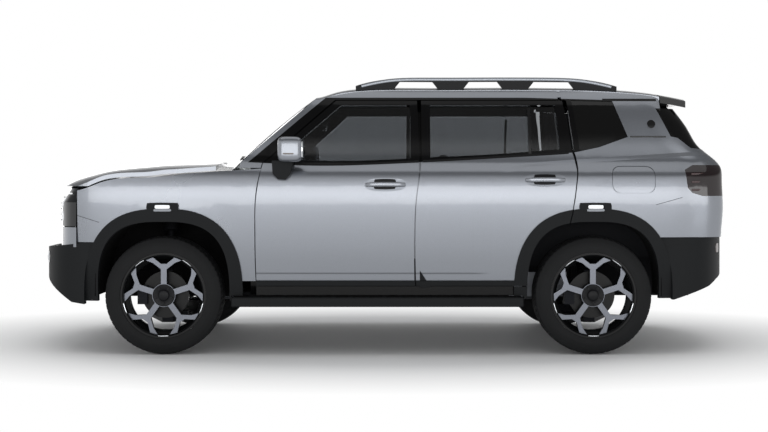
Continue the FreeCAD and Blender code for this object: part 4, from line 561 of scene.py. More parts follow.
def capped_trim(name, code, cap_foot=1.232):
    """Grained moulding with a painted mirror cap: the housing above the foot is silver."""
    material, tree, shader, place = start_finish(name, **{"IOR": 1.46,
                                                          "Specular IOR Level": 0.2})
    cap = inside(tree, place, [over("z", cap_foot)])
    follow(tree, shader, cap, base=(code, colour4("silver")), metallic=(0.0, 0.82),
           coat=(0.0, 0.9), rough=(0.6, 0.28))
    fine = add(tree, "ShaderNodeTexNoise", {"Vector": place, "Scale": 1 / 0.0022, "Detail": 4.0})
    rest = add(tree, "ShaderNodeMath", {0: 1.0, 1: cap}, operation="SUBTRACT")
    follow(tree, shader, combined(tree, [fine.outputs["Fac"], rest.outputs[0]]), relief=0.00018)
    return material


def glossed(name, code, rough=0.08, **values):
    """Smooth painted or moulded gloss: nearly even, with a trace of orange peel."""
    material, tree, shader, place = start_finish(name, **{
        "IOR": 1.5, "Coat Weight": 0.2, "Coat Roughness": 0.04, **values})
    grained(tree, shader, place, 0.02, 2.0, base=(shaded(rgba(code), 0.92), rgba(code)),
            rough=(rough, rough + 0.04))
    return material


def metal(name, code, rough=0.3, period=0.002, height=0.00006, stretch=(1, 1, 1)):
    """Machined or brushed metal: a fine directional grain in the roughness."""
    material, tree, shader, place = start_finish(name, **{"Metallic": 1.0})
    scaled = add(tree, "ShaderNodeMapping", {"Vector": place, "Scale": stretch}).outputs[0]
    grained(tree, shader, scaled, period, 3.0, base=(shaded(rgba(code), 0.85), rgba(code)),
            rough=(rough - 0.05, rough + 0.08), relief=height)
    return material


def glass(name, tint):
    """Float glass with a grey body tint, a little darker where thicker."""
    material, tree, shader, place = start_finish(name, **{
        "IOR": 1.45, "Roughness": 0.0, "Transmission Weight": 1.0})
    grained(tree, shader, place, 0.5, 1.0, base=(shaded(tint, 0.94), shaded(tint, 1.0)))
    return material


def split_glass(name, clear, dark, plane):
    """Glass of two tints in one node, parted by a plane."""
    material, tree, shader, place = start_finish(name, **{
        "IOR": 1.45, "Roughness": 0.0, "Transmission Weight": 1.0})
    follow(tree, shader, inside(tree, place, [plane]), base=(rgba(clear), rgba(dark)))
    return material


def two_tone_rim(name):
    """Cast rim, sprayed black, its outer faces turned bright on a lathe.

    A face is bright between two depths along the axle and between two radii about it.
    """
    face_in, face_out, hub_radius, lip_radius = 0.8812, 0.8840, 0.070, 0.2640
    material, tree, shader, place = start_finish(name, **{"Specular IOR Level": 0.2})
    folded = place
    for operation, amount in (("SUBTRACT", ((FRONT_AXLE + REAR_AXLE) / 2, 0.0, AXLE_Z)),
                              ("ABSOLUTE", (0.0, 0.0, 0.0)),
                              ("SUBTRACT", (WHEELBASE / 2, 0.0, 0.0))):
        folded = add(tree, "ShaderNodeVectorMath", {0: folded, 1: amount},
                     operation=operation).outputs[0]
    across = add(tree, "ShaderNodeSeparateXYZ", {"Vector": folded}).outputs["Y"]
    flat = add(tree, "ShaderNodeVectorMath", {0: folded, 1: (1.0, 0.0, 1.0)},
               operation="MULTIPLY").outputs[0]
    radius = add(tree, "ShaderNodeVectorMath", {0: flat}, operation="LENGTH").outputs["Value"]
    tests = (("GREATER_THAN", across, face_in), ("LESS_THAN", across, face_out),
             ("LESS_THAN", radius, lip_radius), ("GREATER_THAN", radius, hub_radius))
    face = combined(tree, [add(tree, "ShaderNodeMath", {0: value, 1: limit},
                               operation=test).outputs[0] for test, value, limit in tests])
    marks = add(tree, "ShaderNodeTexNoise", {"Vector": place, "Scale": 1 / 0.004, "Detail": 2.0})
    machined = colour4("machined")
    bright = add(tree, "ShaderNodeMix", {0: marks.outputs["Fac"], 6: shaded(machined, 0.88),
                                         7: machined}, data_type="RGBA").outputs[2]
    follow(tree, shader, face, base=(rgba("#0A0B0C"), bright), metallic=(0.0, 0.85),
           rough=(0.35, 0.30))
    return material


def rubber(name):
    """Tyre rubber: carbon black, dull, with fine mould grain and a dusty sheen."""
    material, tree, shader, place = start_finish(name, **{"IOR": 1.5,
                                                          "Specular IOR Level": 0.25})
    grained(tree, shader, place, 0.09, 3.0, base=(rgba("#0C0D0E"), rgba("#131416")))
    grained(tree, shader, place, 0.003, 4.0, rough=(0.62, 0.82), relief=0.00025)
    return material


def cloth(name):
    """Woven seat cloth: crossed threads 1.5 mm apart, drawn 4 mm so that they show."""
    material, tree, shader, place = start_finish(name, **{
        "IOR": 1.45, "Sheen Weight": 0.35, "Sheen Roughness": 0.5})
    threads = [add(tree, "ShaderNodeTexWave", {"Vector": place, "Scale": 1 / 0.004 / 3.14},
                   bands_direction=axis).outputs["Fac"] for axis in ("Y", "DIAGONAL")]
    light = colour4("seat_cloth")
    follow(tree, shader, combined(tree, threads), base=(shaded(light, 0.6), light),
           rough=(0.75, 0.95), relief=0.0004)
    return material


WINDOW_FOOT = [(-0.84, 1.208), (-0.438, 1.189), (0.098, 1.2035), (0.729, 1.239), (1.20, 1.271),
               (1.36, 1.305), (1.54, 1.369)]


def paint_zones():
    """The gloss-black zones of the paint, each a list of half planes."""
    windows = [line_above(a, b) for a, b in zip(WINDOW_FOOT[:-1], WINDOW_FOOT[1:])]
    windows += [under("z", 1.628), line_below((0.0, 1.655), (1.0, 1.625)),
                ((-1.0, 0.0, -0.366), -2.047)]
    spoiler_line = [(x, float(roof_z(x, 0.30)) - 0.012) for x in (1.78, 1.97)]
    return {
        "windows": windows,
        "windscreen pillar": windows + [line_below((-1.0, 1.0903), (0.0, 1.9538))],
        "door foot": [under("z", 0.452)],
        "rear door inner foot": [over("x", 0.86), under("z", 0.54), over("y", -0.905),
                                 under("y", 0.905)],
        "panel top": [over("z", 1.6045), under("z", 1.6215), over("x", 1.40), under("x", 1.75)],
        "sill": [under("z", 0.600)],
        "rear window": [over("x", 1.60), over("z", 1.312), under("z", 1.5570)],
        "spoiler side": [over("x", 1.60), over("z", 1.54), line_below(*spoiler_line)],
    }


def make_finishes():
    """Every material of the car, each named for the real finish that it stands for."""
    zones = paint_zones()
    side = [zones[name] for name in ("windows", "door foot", "rear door inner foot", "panel top")]
    finishes.update({
        # Sprayed body paint, plain and with masked gloss-black zones
        "silver": silver_paint("silver_basecoat"),
        "side": silver_paint("silver_side", side, True),
        "frame": silver_paint("silver_frame", [zones["windscreen pillar"], zones["sill"]]),
        "tail": silver_paint("silver_tailgate", [zones["rear window"], zones["spoiler side"]]),
        # Injection mouldings: arches and bumpers, smooth trim, gloss trim, felt in the arches
        "cladding": moulded("grained_cladding", colour4("cladding")),
        "mirror_trim": capped_trim("mirror_and_cladding", colour4("cladding")),
        "smooth_black": moulded("smooth_moulding", "#101114", 0.004, (0.35, 0.45), 0.00005),
        "gloss_black": glossed("gloss_black_moulding", "#08090A"),
        "liner": moulded("felt_liner", "#0B0B0C", 0.006, (0.85, 0.95), 0.0006),
        # Door glass, windscreen with dark rear panes, and privacy glass in the tailgate
        "door_glass": glass("door_glass", colours().tint),
        "fixed_glass": split_glass("fixed_glass_tints", "#B9BDBE", "#0B0C0D", over("x", 0.5)),
        "dark_glass": glass("privacy_glass", linear("#2A2B2D")),
        # Lamp lenses of moulded acrylic
        "lens": glossed("smoked_lens", "#101215", 0.05),
        "clear_lens": glossed("clear_lens", "#C9CDD2", 0.05, **{"Coat Weight": 1.0}),
        "white_lens": glossed("white_lens", "#E9ECEF", 0.10, **{"Emission Color": rgba("#FFFFFF"),
                                                                "Emission Strength": 0.25}),
        "red_lens": glossed("red_lens", "#6E0B10", 0.06, **{"Coat Weight": 1.0}),
        "dim_red": glossed("unlit_red_lens", "#2E0C0E", 0.08),
        "smoked_red": glossed("smoked_red_lens", "#180D0F", 0.06),
        "smoked_amber": glossed("smoked_amber_lens", "#3A2A1C", 0.08),
        # Wheels: turned and sprayed rims, tyre rubber, extruded seals
        "rim": two_tone_rim("turned_rim"),
        "rubber": rubber("tyre_rubber"),
        "seal": moulded("rubber_seal", "#0A0A0B", 0.005, (0.6, 0.75), 0.0001),
        # Bare and coated metals outside, below and under the bonnet
        "bright": metal("polished_trim", "#C9CCD0", 0.14),
        "rail": metal("satin_rail", "#8C9096", 0.30, 0.003, 0.00003, (0.05, 1, 1)),
        "steel": metal("plain_steel", "#7C7F84", 0.38),
        "iron": metal("coated_iron", "#26272A", 0.62, 0.004, 0.0004),
        "underbody": moulded("underbody_coat", "#141518", 0.008, (0.75, 0.9), 0.0006),
        "engine": metal("cast_housing", "#6A6C70", 0.55, 0.004, 0.0005),
        # Cabin: woven cloth, wheel leather, mouldings, display glass and mirror silvering
        "cloth": cloth("seat_cloth"),
        "leather": moulded("leather_grain", "#1B1B1D", 0.005, (0.42, 0.55), 0.0003),
        "cabin": moulded("cabin_moulding", "#1A1B1E", 0.004, (0.6, 0.75), 0.0003),
        "screen": glossed("display_glass", "#060708", 0.04),
        "mirror": metal("mirror_silvering", "#E4E7EA", 0.02, 0.5, 0.0),
        # Reflective sheet of the blank plates
        "plate": glossed("blank_plate", "#D9DBDC", 0.25),
    })


NODE_FINISHES = {
    "door_": "side", "trim_front": "mirror_trim", "trim_rear": "cladding",
    "glass_": "door_glass", "rim_": "rim", "tyre_": "rubber",
    "knuckle_": "iron", "front_fenders": "silver", "arch_cladding": "cladding",
    "rear_quarters": "side", "fuel_flap": "silver", "tail_lamps": "smoked_red",
    "fixed_glass": "fixed_glass", "roof_rails": "smooth_black", "roof": "silver",
    "tailgate_glass": "dark_glass", "tailgate": "tail", "front_bumper": "cladding",
    "bonnet": "silver", "headlamps": "lens", "grille": "gloss_black", "fascia": "silver",
    "side_frames": "frame", "rear_bumper": "cladding", "side_steps": "cladding",
    "floor_pan": "underbody", "front_structure": "underbody", "arch_liners": "liner",
    "engine_block": "engine", "exhaust_and_tank": "steel", "seats": "cloth", "seat_bases": "cabin",
    "dashboard": "cabin", "front_suspension": "iron", "rear_suspension": "iron",
    "steering_wheel": "leather",
}


def dress_nodes():
    """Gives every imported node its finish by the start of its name."""
    for name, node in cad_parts.items():
        match = max((key for key in NODE_FINISHES if name.startswith(key)), key=len)
        node.data.materials.clear()
        node.data.materials.append(finishes[NODE_FINISHES[match]])


# Stage
FLOOR_HALF, FLOOR_NEAR, FLOOR_FAR, FLOOR_LONG_SHARE = 40.0, 1.35, 2.4, 0.62
WORLD_LIGHT, CEILING_SHARE, WALL_TOP, CEILING_EDGE = 0.5, 0.22, 0.28, 0.50
WALL_TILT = (0.0, 0.126, 1.0)
CAMERA_PLACE, SENSOR, IMAGE_WIDTH = (0.0, -8.8, 1.072), 36.0, 768
SHIFT = (-0.0007, -32 / IMAGE_WIDTH)
# Each lamp's name, place, tilt about X in degrees, size and power
LAMPS = (("lamp_top", (0.0, 0.0, 5.4), 0, (8.0, 5.0), 85),
         ("lamp_left", (0.0, -12.0, 1.45), 90, (18.0, 2.9), 460),
         ("lamp_right", (0.0, 12.0, 1.45), -90, (18.0, 2.9), 240))


def make_floor():
    """Painted studio floor: even and dull near the car, plain white farther off."""
    corners = [(-1, -1), (1, -1), (1, 1), (-1, 1)]
    mesh = bpy.data.meshes.new("floor")
    mesh.from_pydata([(x * FLOOR_HALF, y * FLOOR_HALF, 0) for x, y in corners], [], [(0, 1, 2, 3)])
    floor = bpy.data.objects.new("floor", mesh)
    bpy.context.scene.collection.objects.link(floor)
    material, tree, shader, place = start_finish("pale_floor", **{
        "Roughness": 0.7, "IOR": 1.3, "Base Color": rgba("#F2F3F4")})
    output = [node for node in tree.nodes if node.bl_idname == "ShaderNodeOutputMaterial"][0]
    white = add(tree, "ShaderNodeEmission", {"Color": (1, 1, 1, 1), "Strength": 1.0})
    scaled = add(tree, "ShaderNodeVectorMath", {0: place, 1: (FLOOR_LONG_SHARE, 1.0, 1.0)},
                 operation="MULTIPLY")
    distance = add(tree, "ShaderNodeVectorMath", {0: scaled.outputs[0]}, operation="LENGTH")
    far = add(tree, "ShaderNodeMapRange", {"Value": distance.outputs["Value"],
                                           "From Min": FLOOR_NEAR, "From Max": FLOOR_FAR})
    mix = add(tree, "ShaderNodeMixShader", {0: far.outputs["Result"], 1: shader.outputs["BSDF"],
                                            2: white.outputs["Emission"]})
    tree.links.new(mix.outputs[0], output.inputs["Surface"])
    floor.data.materials.append(material)


def make_world():
    """White walls, the one behind the car lower, under a dim ceiling; a plain light for the rest."""
    world = bpy.data.worlds.new("studio")
    bpy.context.scene.world = world
    world.use_nodes = True
    tree = world.node_tree
    tree.nodes.clear()
    rays = add(tree, "ShaderNodeLightPath").outputs
    seen = combined(tree, [rays["Is Camera Ray"], rays["Is Glossy Ray"],
                           rays["Is Transmission Ray"]], "MAXIMUM")
    direction = add(tree, "ShaderNodeTexCoord").outputs["Generated"]
    rise = add(tree, "ShaderNodeVectorMath", {0: direction, 1: WALL_TILT}, operation="DOT_PRODUCT")
    walls = add(tree, "ShaderNodeMapRange", {
        "Value": rise.outputs["Value"], "From Min": WALL_TOP, "From Max": CEILING_EDGE,
        "To Min": 1.0, "To Max": CEILING_SHARE}).outputs["Result"]
    plain = add(tree, "ShaderNodeBackground", {"Color": rgba("#FFFFFF"), "Strength": WORLD_LIGHT})
    shown = add(tree, "ShaderNodeBackground", {"Color": rgba("#FFFFFF"), "Strength": walls})
    mix = add(tree, "ShaderNodeMixShader", {0: seen, 1: plain.outputs[0], 2: shown.outputs[0]})
    add(tree, "ShaderNodeOutputWorld", {"Surface": mix.outputs[0]})


def make_lamps():
    """Soft boxes over the car and at both sides, unseen by the camera and through glass."""
    for name, place, tilt, size, energy in LAMPS:
        light = bpy.data.lights.new(name, "AREA")
        light.shape = "RECTANGLE"
        light.size, light.size_y = size
        light.energy = energy
        lamp = bpy.data.objects.new(name, light)
        lamp.location, lamp.rotation_euler = place, (math.radians(tilt), 0.0, 0.0)
        lamp.visible_camera = False
        lamp.visible_transmission = False
        bpy.context.scene.collection.objects.link(lamp)


def make_camera():
    """Level camera square to the car's left side, at the photograph's distance and height."""
    lens = bpy.data.cameras.new("camera")
    lens.lens, lens.sensor_width = sizes().lens, SENSOR
    lens.shift_x, lens.shift_y = SHIFT
    camera = bpy.data.objects.new("camera", lens)
    camera.location = CAMERA_PLACE
    camera.rotation_euler = (math.radians(90), 0.0, 0.0)
    bpy.context.scene.collection.objects.link(camera)
    bpy.context.scene.camera = camera
    bpy.context.scene.view_settings.view_transform = "Standard"


# Wheels
TREAD_SHARE, SHOULDER_DROP, CARCASS = 0.80, 0.0065, 0.016
GROOVE_PLACES, LUG_COUNT, TREAD_STEPS = (-0.055, -0.019, 0.019, 0.055), 62, 45


def groove(distance, wide):
    """A flat-bottomed notch: near 1 inside its width and near 0 outside."""
    return 1 / (1 + (np.abs(distance) / (wide / 2)) ** 8)


def tyre_section():
    """Closed section as offsets across and radii: tread, wall, inside and the other wall."""
    crown = np.linspace(-1, 1, TREAD_STEPS)
    half = TYRE_HALF * TREAD_SHARE
    shoulder = TYRE_RADIUS - SHOULDER_DROP
    wall = np.linspace(0, 1, 14)[1:]
    wall_y = half + (TYRE_HALF - half) * np.sin(wall * np.pi / 2 * 1.15)
    wall_y = np.minimum(wall_y, TYRE_HALF - 0.004 * wall ** 3)
    wall_r = shoulder - (shoulder - RIM_RADIUS - 0.0015) * wall ** 1.2
    wall_r = wall_r + 0.0012 * np.sin(wall * np.pi * 6) * (wall > 0.25)
    inner_y = np.linspace(1, -1, 9) * (TYRE_HALF - CARCASS)
    inner_r = np.full(9, TYRE_RADIUS - CARCASS)
    inner_r[[0, -1]] = RIM_RADIUS + 0.004
    return (np.concatenate([crown * half, wall_y, inner_y, -wall_y[::-1]]),
            np.concatenate([TYRE_RADIUS - SHOULDER_DROP * np.abs(crown) ** 3, wall_r, inner_r,
                            wall_r[::-1]]))


def tyre_form(axle, side):
    """Tyre section turned about its axle, its radius cut by grooves around and across.

    Lugs and sipes repeat with the angle, and wander along it as a sine across the tread.
    """
    turn = np.linspace(0, 2 * np.pi, 420, endpoint=False)
    section_y, section_r = tyre_section()
    angle, across = np.meshgrid(turn, section_y, indexing="ij")
    radius = np.broadcast_to(section_r, angle.shape).copy()
    on_tread = np.arange(len(section_y)) < TREAD_STEPS
    around = sum(groove(across - place, sizes().groove_width) for place in GROOVE_PLACES)
    wander = 0.35 * np.sin(across / (TYRE_HALF * TREAD_SHARE) * np.pi)
    lug = (angle * LUG_COUNT / (2 * np.pi) + wander) % 1.0 - 0.5
    sipe = (angle * LUG_COUNT * 2 / (2 * np.pi) + wander * 2) % 1.0 - 0.5
    slots = groove(lug, 0.16) * (np.abs(across) > 0.060)
    sipes = groove(sipe, 0.12) * 0.4 * (np.abs(across) < 0.058)
    radius -= sizes().tread_depth * np.clip(around + slots + sipes, 0, 1) * on_tread
    return looped(np.stack([axle + radius * np.cos(angle), side * WHEEL_Y + across,
                            AXLE_Z + radius * np.sin(angle)], axis=-1))


def wheel_bodies():
    """The end and hand of each wheel, its axle's X and its side."""
    for end, axle in (("front", FRONT_AXLE), ("rear", REAR_AXLE)):
        for hand, side in SIDES:
            yield "%s_%s" % (end, hand), axle, side


def make_tyres():
    """A tyre with a cut tread for each wheel, in place of the plain one."""
    for name, axle, side in wheel_bodies():
        piece("tyre_tread_" + name, [tyre_form(axle, side)], "rubber", "wheel_" + name,
              50, ["tyre_" + name])


CAP_PROFILE = [(0.030, -0.004), (0.033, 0.004), (0.031, 0.009), (0.026, 0.011), (0.002, 0.012)]
CAP_RING = [(0.031, 0.0), (0.066, -0.001), (0.069, 0.002), (0.066, 0.005), (0.036, 0.004)]
NUT_PROFILE = [(0.0095, 0.0), (0.0095, 0.007), (0.008, 0.0095), (0.001, 0.010)]
CAP_OUT, NUT_CIRCLE, SLIVER_RADIUS, SLIVER_Y, SPOKES = 0.082, 0.050, 0.2545, 0.9025, 5


def make_wheel_trim():
    """Hub cap, nuts and bright slivers in the lip; each is turned about an axis along Y."""
    for name, axle, side in wheel_bodies():
        body = "wheel_" + name
        out = np.array((0.0, side, 0.0))
        face = np.array((axle, side * (WHEEL_Y + CAP_OUT), AXLE_Z))
        piece("hub_cap_" + name, [turned(CAP_PROFILE, face, out, 40),
                                  turned(CAP_RING, face, out, 48, True)], "smooth_black", body)
        nuts, slivers = [], []
        for k in range(SPOKES):
            middle = math.pi / 2 + math.pi / SPOKES + 2 * math.pi * k / SPOKES
            spot = face + np.array((math.cos(middle), 0, math.sin(middle))) * NUT_CIRCLE
            nuts.append(turned(NUT_PROFILE, spot, out, 6))
            t = np.linspace(-1, 1, 17)
            sweep = middle + t * math.radians(8.5)
            path = np.stack([axle + SLIVER_RADIUS * np.cos(sweep), np.full(17, side * SLIVER_Y),
                             AXLE_Z + SLIVER_RADIUS * np.sin(sweep)], axis=-1)
            slivers.append(swept(path, oval(0.0045, 0.0030, 12, 3.0), out,
                                 np.sqrt(np.clip(1 - t ** 4, 0.02, 1))))
        piece("wheel_nuts_" + name, nuts, "smooth_black", body, 25)
        piece("rim_slivers_" + name, slivers, "bright", body)


# Seats: each row has its floor point, and its pads are given from there
SEAT_FOOT, SEAT_PLACES, SEAT_LEAN = (-0.282, 0.490), (-0.36, 0.36), 0.21
SEAT_PADS = (((0.25, 0.0, 0.070), (0.50, 0.40, 0.135), -0.05),
             ((0.25, 0.205, 0.075), (0.47, 0.088, 0.150), -0.05),
             ((0.25, -0.205, 0.075), (0.47, 0.088, 0.150), -0.05),
             ((0.585, 0.205, 0.36), (0.105, 0.088, 0.46), SEAT_LEAN),
             ((0.585, -0.205, 0.36), (0.105, 0.088, 0.46), SEAT_LEAN),
             ((0.605, 0.0, 0.34), (0.105, 0.40, 0.52), SEAT_LEAN),
             ((0.672, 0.0, 0.690), (0.085, 0.215, 0.175), 0.08))
BENCH_FOOT, BENCH_PLACES = (0.579, 0.564), ((-0.42, 0.42), (0.0, 0.40), (0.42, 0.42))


def make_seats():
    """Crowned cushions with side bolsters, in the space of the plain seats."""
    foot_x, foot_z = SEAT_FOOT
    front = [cushion((foot_x + x, seat_y + y, foot_z + z), size, lean)
             for seat_y in SEAT_PLACES for (x, y, z), size, lean in SEAT_PADS]
    made = piece("seat_cushions_front", front, "cloth", "body", 60, ["seats"])
    foot_x, foot_z = BENCH_FOOT
    rear = []
    for y, wide in BENCH_PLACES:
        rear.append(cushion((foot_x + 0.245, y, foot_z + 0.070), (0.48, wide, 0.135), -0.04))
        rear.append(cushion((foot_x + 0.600, y, foot_z + 0.325), (0.110, wide, 0.47), SEAT_LEAN))
        rear.append(cushion((foot_x + 0.680, y, foot_z + 0.635), (0.080, 0.20, 0.150), 0.08))
    made = piece("seat_cushions_rear", rear, "cloth", "body", 60, ["seats"])
    posts = [swept(np.linspace((0.335, y + edge, 1.06), (0.347, y + edge, 1.16), 4),
                   oval(0.006, 0.006, 12), (0, 1, 0))
             for y in SEAT_PLACES for edge in (-0.05, 0.05)]
    piece("headrest_posts", posts, "bright", "body")


HANDLE_PLACES = (("front", 0.006, 1.068), ("rear", 1.006, 1.097))
# Half widths and half heights of the cup and the painted-shade plates, and the grip's own section
HANDLE_CUP, HANDLE_SHADE_PATCH = (0.134, 0.042), (0.070, 0.033)
HANDLE_END_SHADE, GRIP = (0.014, 0.013), (0.0085, 0.0145)
HANDLE_END_SHADE_X, GRIP_STAND, GRIP_ARCH = 0.112, 0.006, 0.024


def make_handles():
    """Oval cups with an arched grip bar across, one on each door, and painted shade in each cup."""
    for hand, side in SIDES:
        for end, x, z in HANDLE_PLACES:
            name, body = "%s_%s" % (end, hand), "door_%s_%s" % (end, hand)
            cup = side_pad(x, z, *HANDLE_CUP, 0.0018, 0.007, 0.9, -0.0012, 0.05, 21)
            piece("handle_cup_" + name, [sided(cup, side)], "silver", body)
            # Dark plates are painted shade in the cup's upper recess and at the grip's ends
            shade_plates = [side_pad(x - 0.004, z + 0.003, *HANDLE_SHADE_PATCH, 0.0030, 0.004, 0.35, 0.0, 0.05)]
            shade_plates += [side_pad(x + turn * HANDLE_END_SHADE_X, z, *HANDLE_END_SHADE, 0.0030, 0.004, 0.8)
                     for turn in (-1, 1)]
            piece("handle_well_" + name, [sided(form, side) for form in shade_plates], "smooth_black",
                  body)
            t = np.linspace(-1, 1, 33)
            xs = x + t * sizes().handle_length / 2
            path = skin_points(xs, z + 0.002 * (1 - t ** 2), GRIP_STAND + GRIP_ARCH * (1 - t ** 4))
            bar = swept(path, oval(*GRIP, 24, 3.0), (0, 0, 1), 1 - 0.35 * np.abs(t) ** 8)
            piece("handle_bar_" + name, [sided(bar, side)], "silver", body)


MIRROR_SIZE, MIRROR_X, MIRROR_Z, MIRROR_IN = (0.156, 0.161, 0.158), -0.5846, 1.2865, 0.078
MIRROR_GLASS, MIRROR_GLASS_BACK, MIRROR_GLASS_WALL = (0.0600, 0.0550), 0.0790, 0.006
TURN_LAMP, TURN_LAMP_X, TURN_LAMP_Z = (0.034, 0.0045), -0.592, 1.258


def make_mirrors():
    """Painted shell round each housing, its glass behind, and a turn lamp in its side."""
    for hand, side in SIDES:
        low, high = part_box("trim_front_" + hand)
        body = "door_front_" + hand
        out = max(abs(low[1]), abs(high[1]))
        centre = np.array((MIRROR_X, MIRROR_IN - out, MIRROR_Z))
        shell = cushion(centre, MIRROR_SIZE, 0.0, 0.0, 4.6, 25, 56)
        piece("mirror_shell_" + hand, [sided(shell, side)], "silver", body, 60)
        wide, tall, edge = pad(*MIRROR_GLASS, 0.45, 15)
        outer = np.stack([centre[0] + MIRROR_GLASS_BACK + 0.0012 * (1 - edge ** 2),
                          centre[1] + wide, centre[2] + tall], axis=-1)
        back = plate(outer, outer - (MIRROR_GLASS_WALL, 0, 0))
        piece("mirror_glass_" + hand, [sided(back, side)], "mirror", body)
        wide, tall = pad(*TURN_LAMP, 0.3, 11)[:2]
        outer = np.stack([TURN_LAMP_X + wide, np.full_like(wide, -(out + 0.0015)),
                          TURN_LAMP_Z + tall], axis=-1)
        lamp = plate(outer - (0, 0.0025, 0), outer + (0, 0.004, 0))
        piece("mirror_lamp_" + hand, [sided(lamp, side)], "smoked_amber", body)


BELT_SEALS = (("front", -0.655, 0.215), ("rear", 0.240, 1.165))


def make_seals():
    """Rubber strip along the belt of each door, swept over the body's side."""
    for hand, side in SIDES:
        for end, x_low, x_high in BELT_SEALS:
            xs = np.linspace(x_low, x_high, 40)
            strip = swept(skin_points(xs, belt_curve(xs) + 0.004, 0.001),
                          oval(0.005, 0.0075, 12, 3.0))
            piece("belt_seal_%s_%s" % (end, hand), [sided(strip, side)], "seal",
                  "door_%s_%s" % (end, hand))


MARKER_X, MARKER_Z = (-1.387, 1.318), 0.927
MARKER_TAB, MARKER_LAMP, MARKER_STRIP = (0.100, 0.028), (0.047, 0.0115), (0.055, 0.0075)


def make_markers():
    """Black tabs on top of the arches with a white lamp in each."""
    tabs = [side_pad(x, MARKER_Z, *MARKER_TAB, 0.014, 0.020, 0.25) for x in MARKER_X]
    lamps = [side_pad(x, MARKER_Z + 0.002, *MARKER_LAMP, 0.0165, 0.006, 0.3, 0.001)
             for x in MARKER_X]
    strips = [side_pad(x, MARKER_Z - 0.019, *MARKER_STRIP, 0.0150, 0.004, 0.3) for x in MARKER_X]
    piece("marker_tabs", both(tabs), "cladding", "body")
    piece("marker_lamps", both(lamps), "white_lens", "body")
    piece("marker_strips", both(strips), "steel", "body")


STEP_FRONT, STEP_REAR, STEP_Y, STEP_EDGE_Y, STEP_TOP = -0.90, 0.84, -0.892, -0.9485, 0.3655
STEP_PAD, STEP_PAD_WALL, STEP_EDGE_Z = (0.040, 0.050), 0.003, 0.352


def make_steps():
    """Raised pads along the step's top and a bright lower edge."""
    pads = []
    for x in np.arange(STEP_FRONT, STEP_REAR, sizes().step_pad_pitch):
        wide, deep = pad(*STEP_PAD, 0.3, 7)[:2]
        outer = np.stack([x + wide, STEP_Y + deep, np.full_like(wide, STEP_TOP)], axis=-1)
        pads.append(plate(outer, outer - (0, 0, STEP_PAD_WALL)))
    path = np.linspace((-0.93, STEP_EDGE_Y, STEP_EDGE_Z), (0.855, STEP_EDGE_Y, STEP_EDGE_Z), 24)
    piece("step_pads", both(pads), "seal", "body")
    piece("step_edges", both([swept(path, oval(0.0035, 0.006, 12, 3.0))]), "steel", "body")


RAIL_Y, RAIL_RISE, RAIL_HALF = 0.595, 0.046, 0.026
RAIL_ROWS = [(x, float(roof_z(x, RAIL_Y)) + RAIL_RISE * share_up + RAIL_HALF) for x, share_up in
             zip(np.linspace(-0.1875, 1.5097, 9), (0.0, 0.78, 1.0, 1.0, 1.0, 1.0, 1.0, 0.78, 0.0))]
rail_top = spline(RAIL_ROWS)


def make_rails():
    """Satin cap along the crest of each roof rail: the rail's own top curve."""
    xs = np.linspace(-0.150, 1.475, 90)
    path = np.stack([xs, np.full_like(xs, -RAIL_Y), rail_top(xs) - 0.0105], axis=-1)
    piece("rail_strips", both([swept(path, oval(0.0185, 0.0120, 20, 5.0))]), "rail", "body")


DIVISION_X, DIVISION_FOOT, DIVISION_TOP = 0.920, 1.248, 1.560
CORNER_X, CORNER_WIDE, CORNER_Z, CORNER_HIGH = 0.2215, 0.070, 0.418, 0.108


def make_window_trim():
    """Division bar of each rear door window, and the black corner at the foot of the doors."""
    zs = np.linspace(DIVISION_FOOT, DIVISION_TOP, 24)
    bar = swept(skin_points(np.full_like(zs, DIVISION_X), zs, -0.0015),
                oval(0.0095, 0.0035, 12, 4.0), (0, 1, 0.3))
    t, h = np.meshgrid(np.linspace(0, 1, 9), np.linspace(0, 1, 9), indexing="ij")
    xs, zs = CORNER_X + CORNER_WIDE * t, CORNER_Z + (CORNER_HIGH * (1 - t) + 0.004) * h
    corner = plate(skin_points(xs, zs, 0.0024), skin_points(xs, zs, -0.0030))
    for hand, side in SIDES:
        body = "door_rear_" + hand
        piece("division_bar_" + hand, [sided(bar, side)], "gloss_black", body)
        piece("door_corner_" + hand, [sided(corner, side)], "smooth_black", body)


def on_glass(name, ys, zs, side, lift):
    """Points on a glass node's outer face, found by rays along X, lifted off it."""
    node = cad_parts[name]
    found = []
    for y, z in zip(ys, zs):
        hit, place = node.ray_cast((side * 3.0, y, z), (-side, 0.0, 0.0))[:2]
        found.append((place.x + side * lift, y, z) if hit else (np.nan, y, z))
    found = np.array(found)
    good = ~np.isnan(found[:, 0])
    found[:, 0] = np.interp(np.arange(len(found)), np.flatnonzero(good), found[good, 0])
    return found


WIPER_BLADE, WIPER_ARM, GLASS_FOOT_Z = oval(0.006, 0.005, 12), oval(0.008, 0.005, 12), 1.236
WIPERS = (((-0.66, GLASS_FOOT_Z), (-0.06, 1.268), (-0.02, 1.205)),
          ((-0.02, GLASS_FOOT_Z), (0.56, 1.268), (0.60, 1.205)))


def make_wipers():
    """Two blades at the foot of the windscreen and one on the rear glass, each with its arm."""
    forms = []
    for start, end, pivot in WIPERS:
        ys, zs = np.linspace(start, end, 22).T
        forms.append(swept(on_glass("fixed_glass", ys, zs, -1, 0.009), WIPER_BLADE))
        ys, zs = np.linspace(pivot, (ys[9], zs[9] + 0.003), 14).T
        arm = on_glass("fixed_glass", ys, np.maximum(zs, GLASS_FOOT_Z), -1, 0.017)
        arm[:, 2] = zs
        forms.append(swept(arm, WIPER_ARM))
    piece("wipers", forms, "smooth_black", "body")
    ys, zs = np.linspace((-0.02, 1.372), (0.34, 1.392), 18).T
    blade = swept(on_glass("tailgate_glass", ys, zs, 1, 0.009), WIPER_BLADE)
    ys, zs = np.linspace((0.0, 1.345), (0.17, 1.383), 18).T
    arm = swept(on_glass("tailgate_glass", ys, zs, 1, 0.016), WIPER_ARM)
    piece("rear_wiper", [blade, arm], "smooth_black", "tailgate")


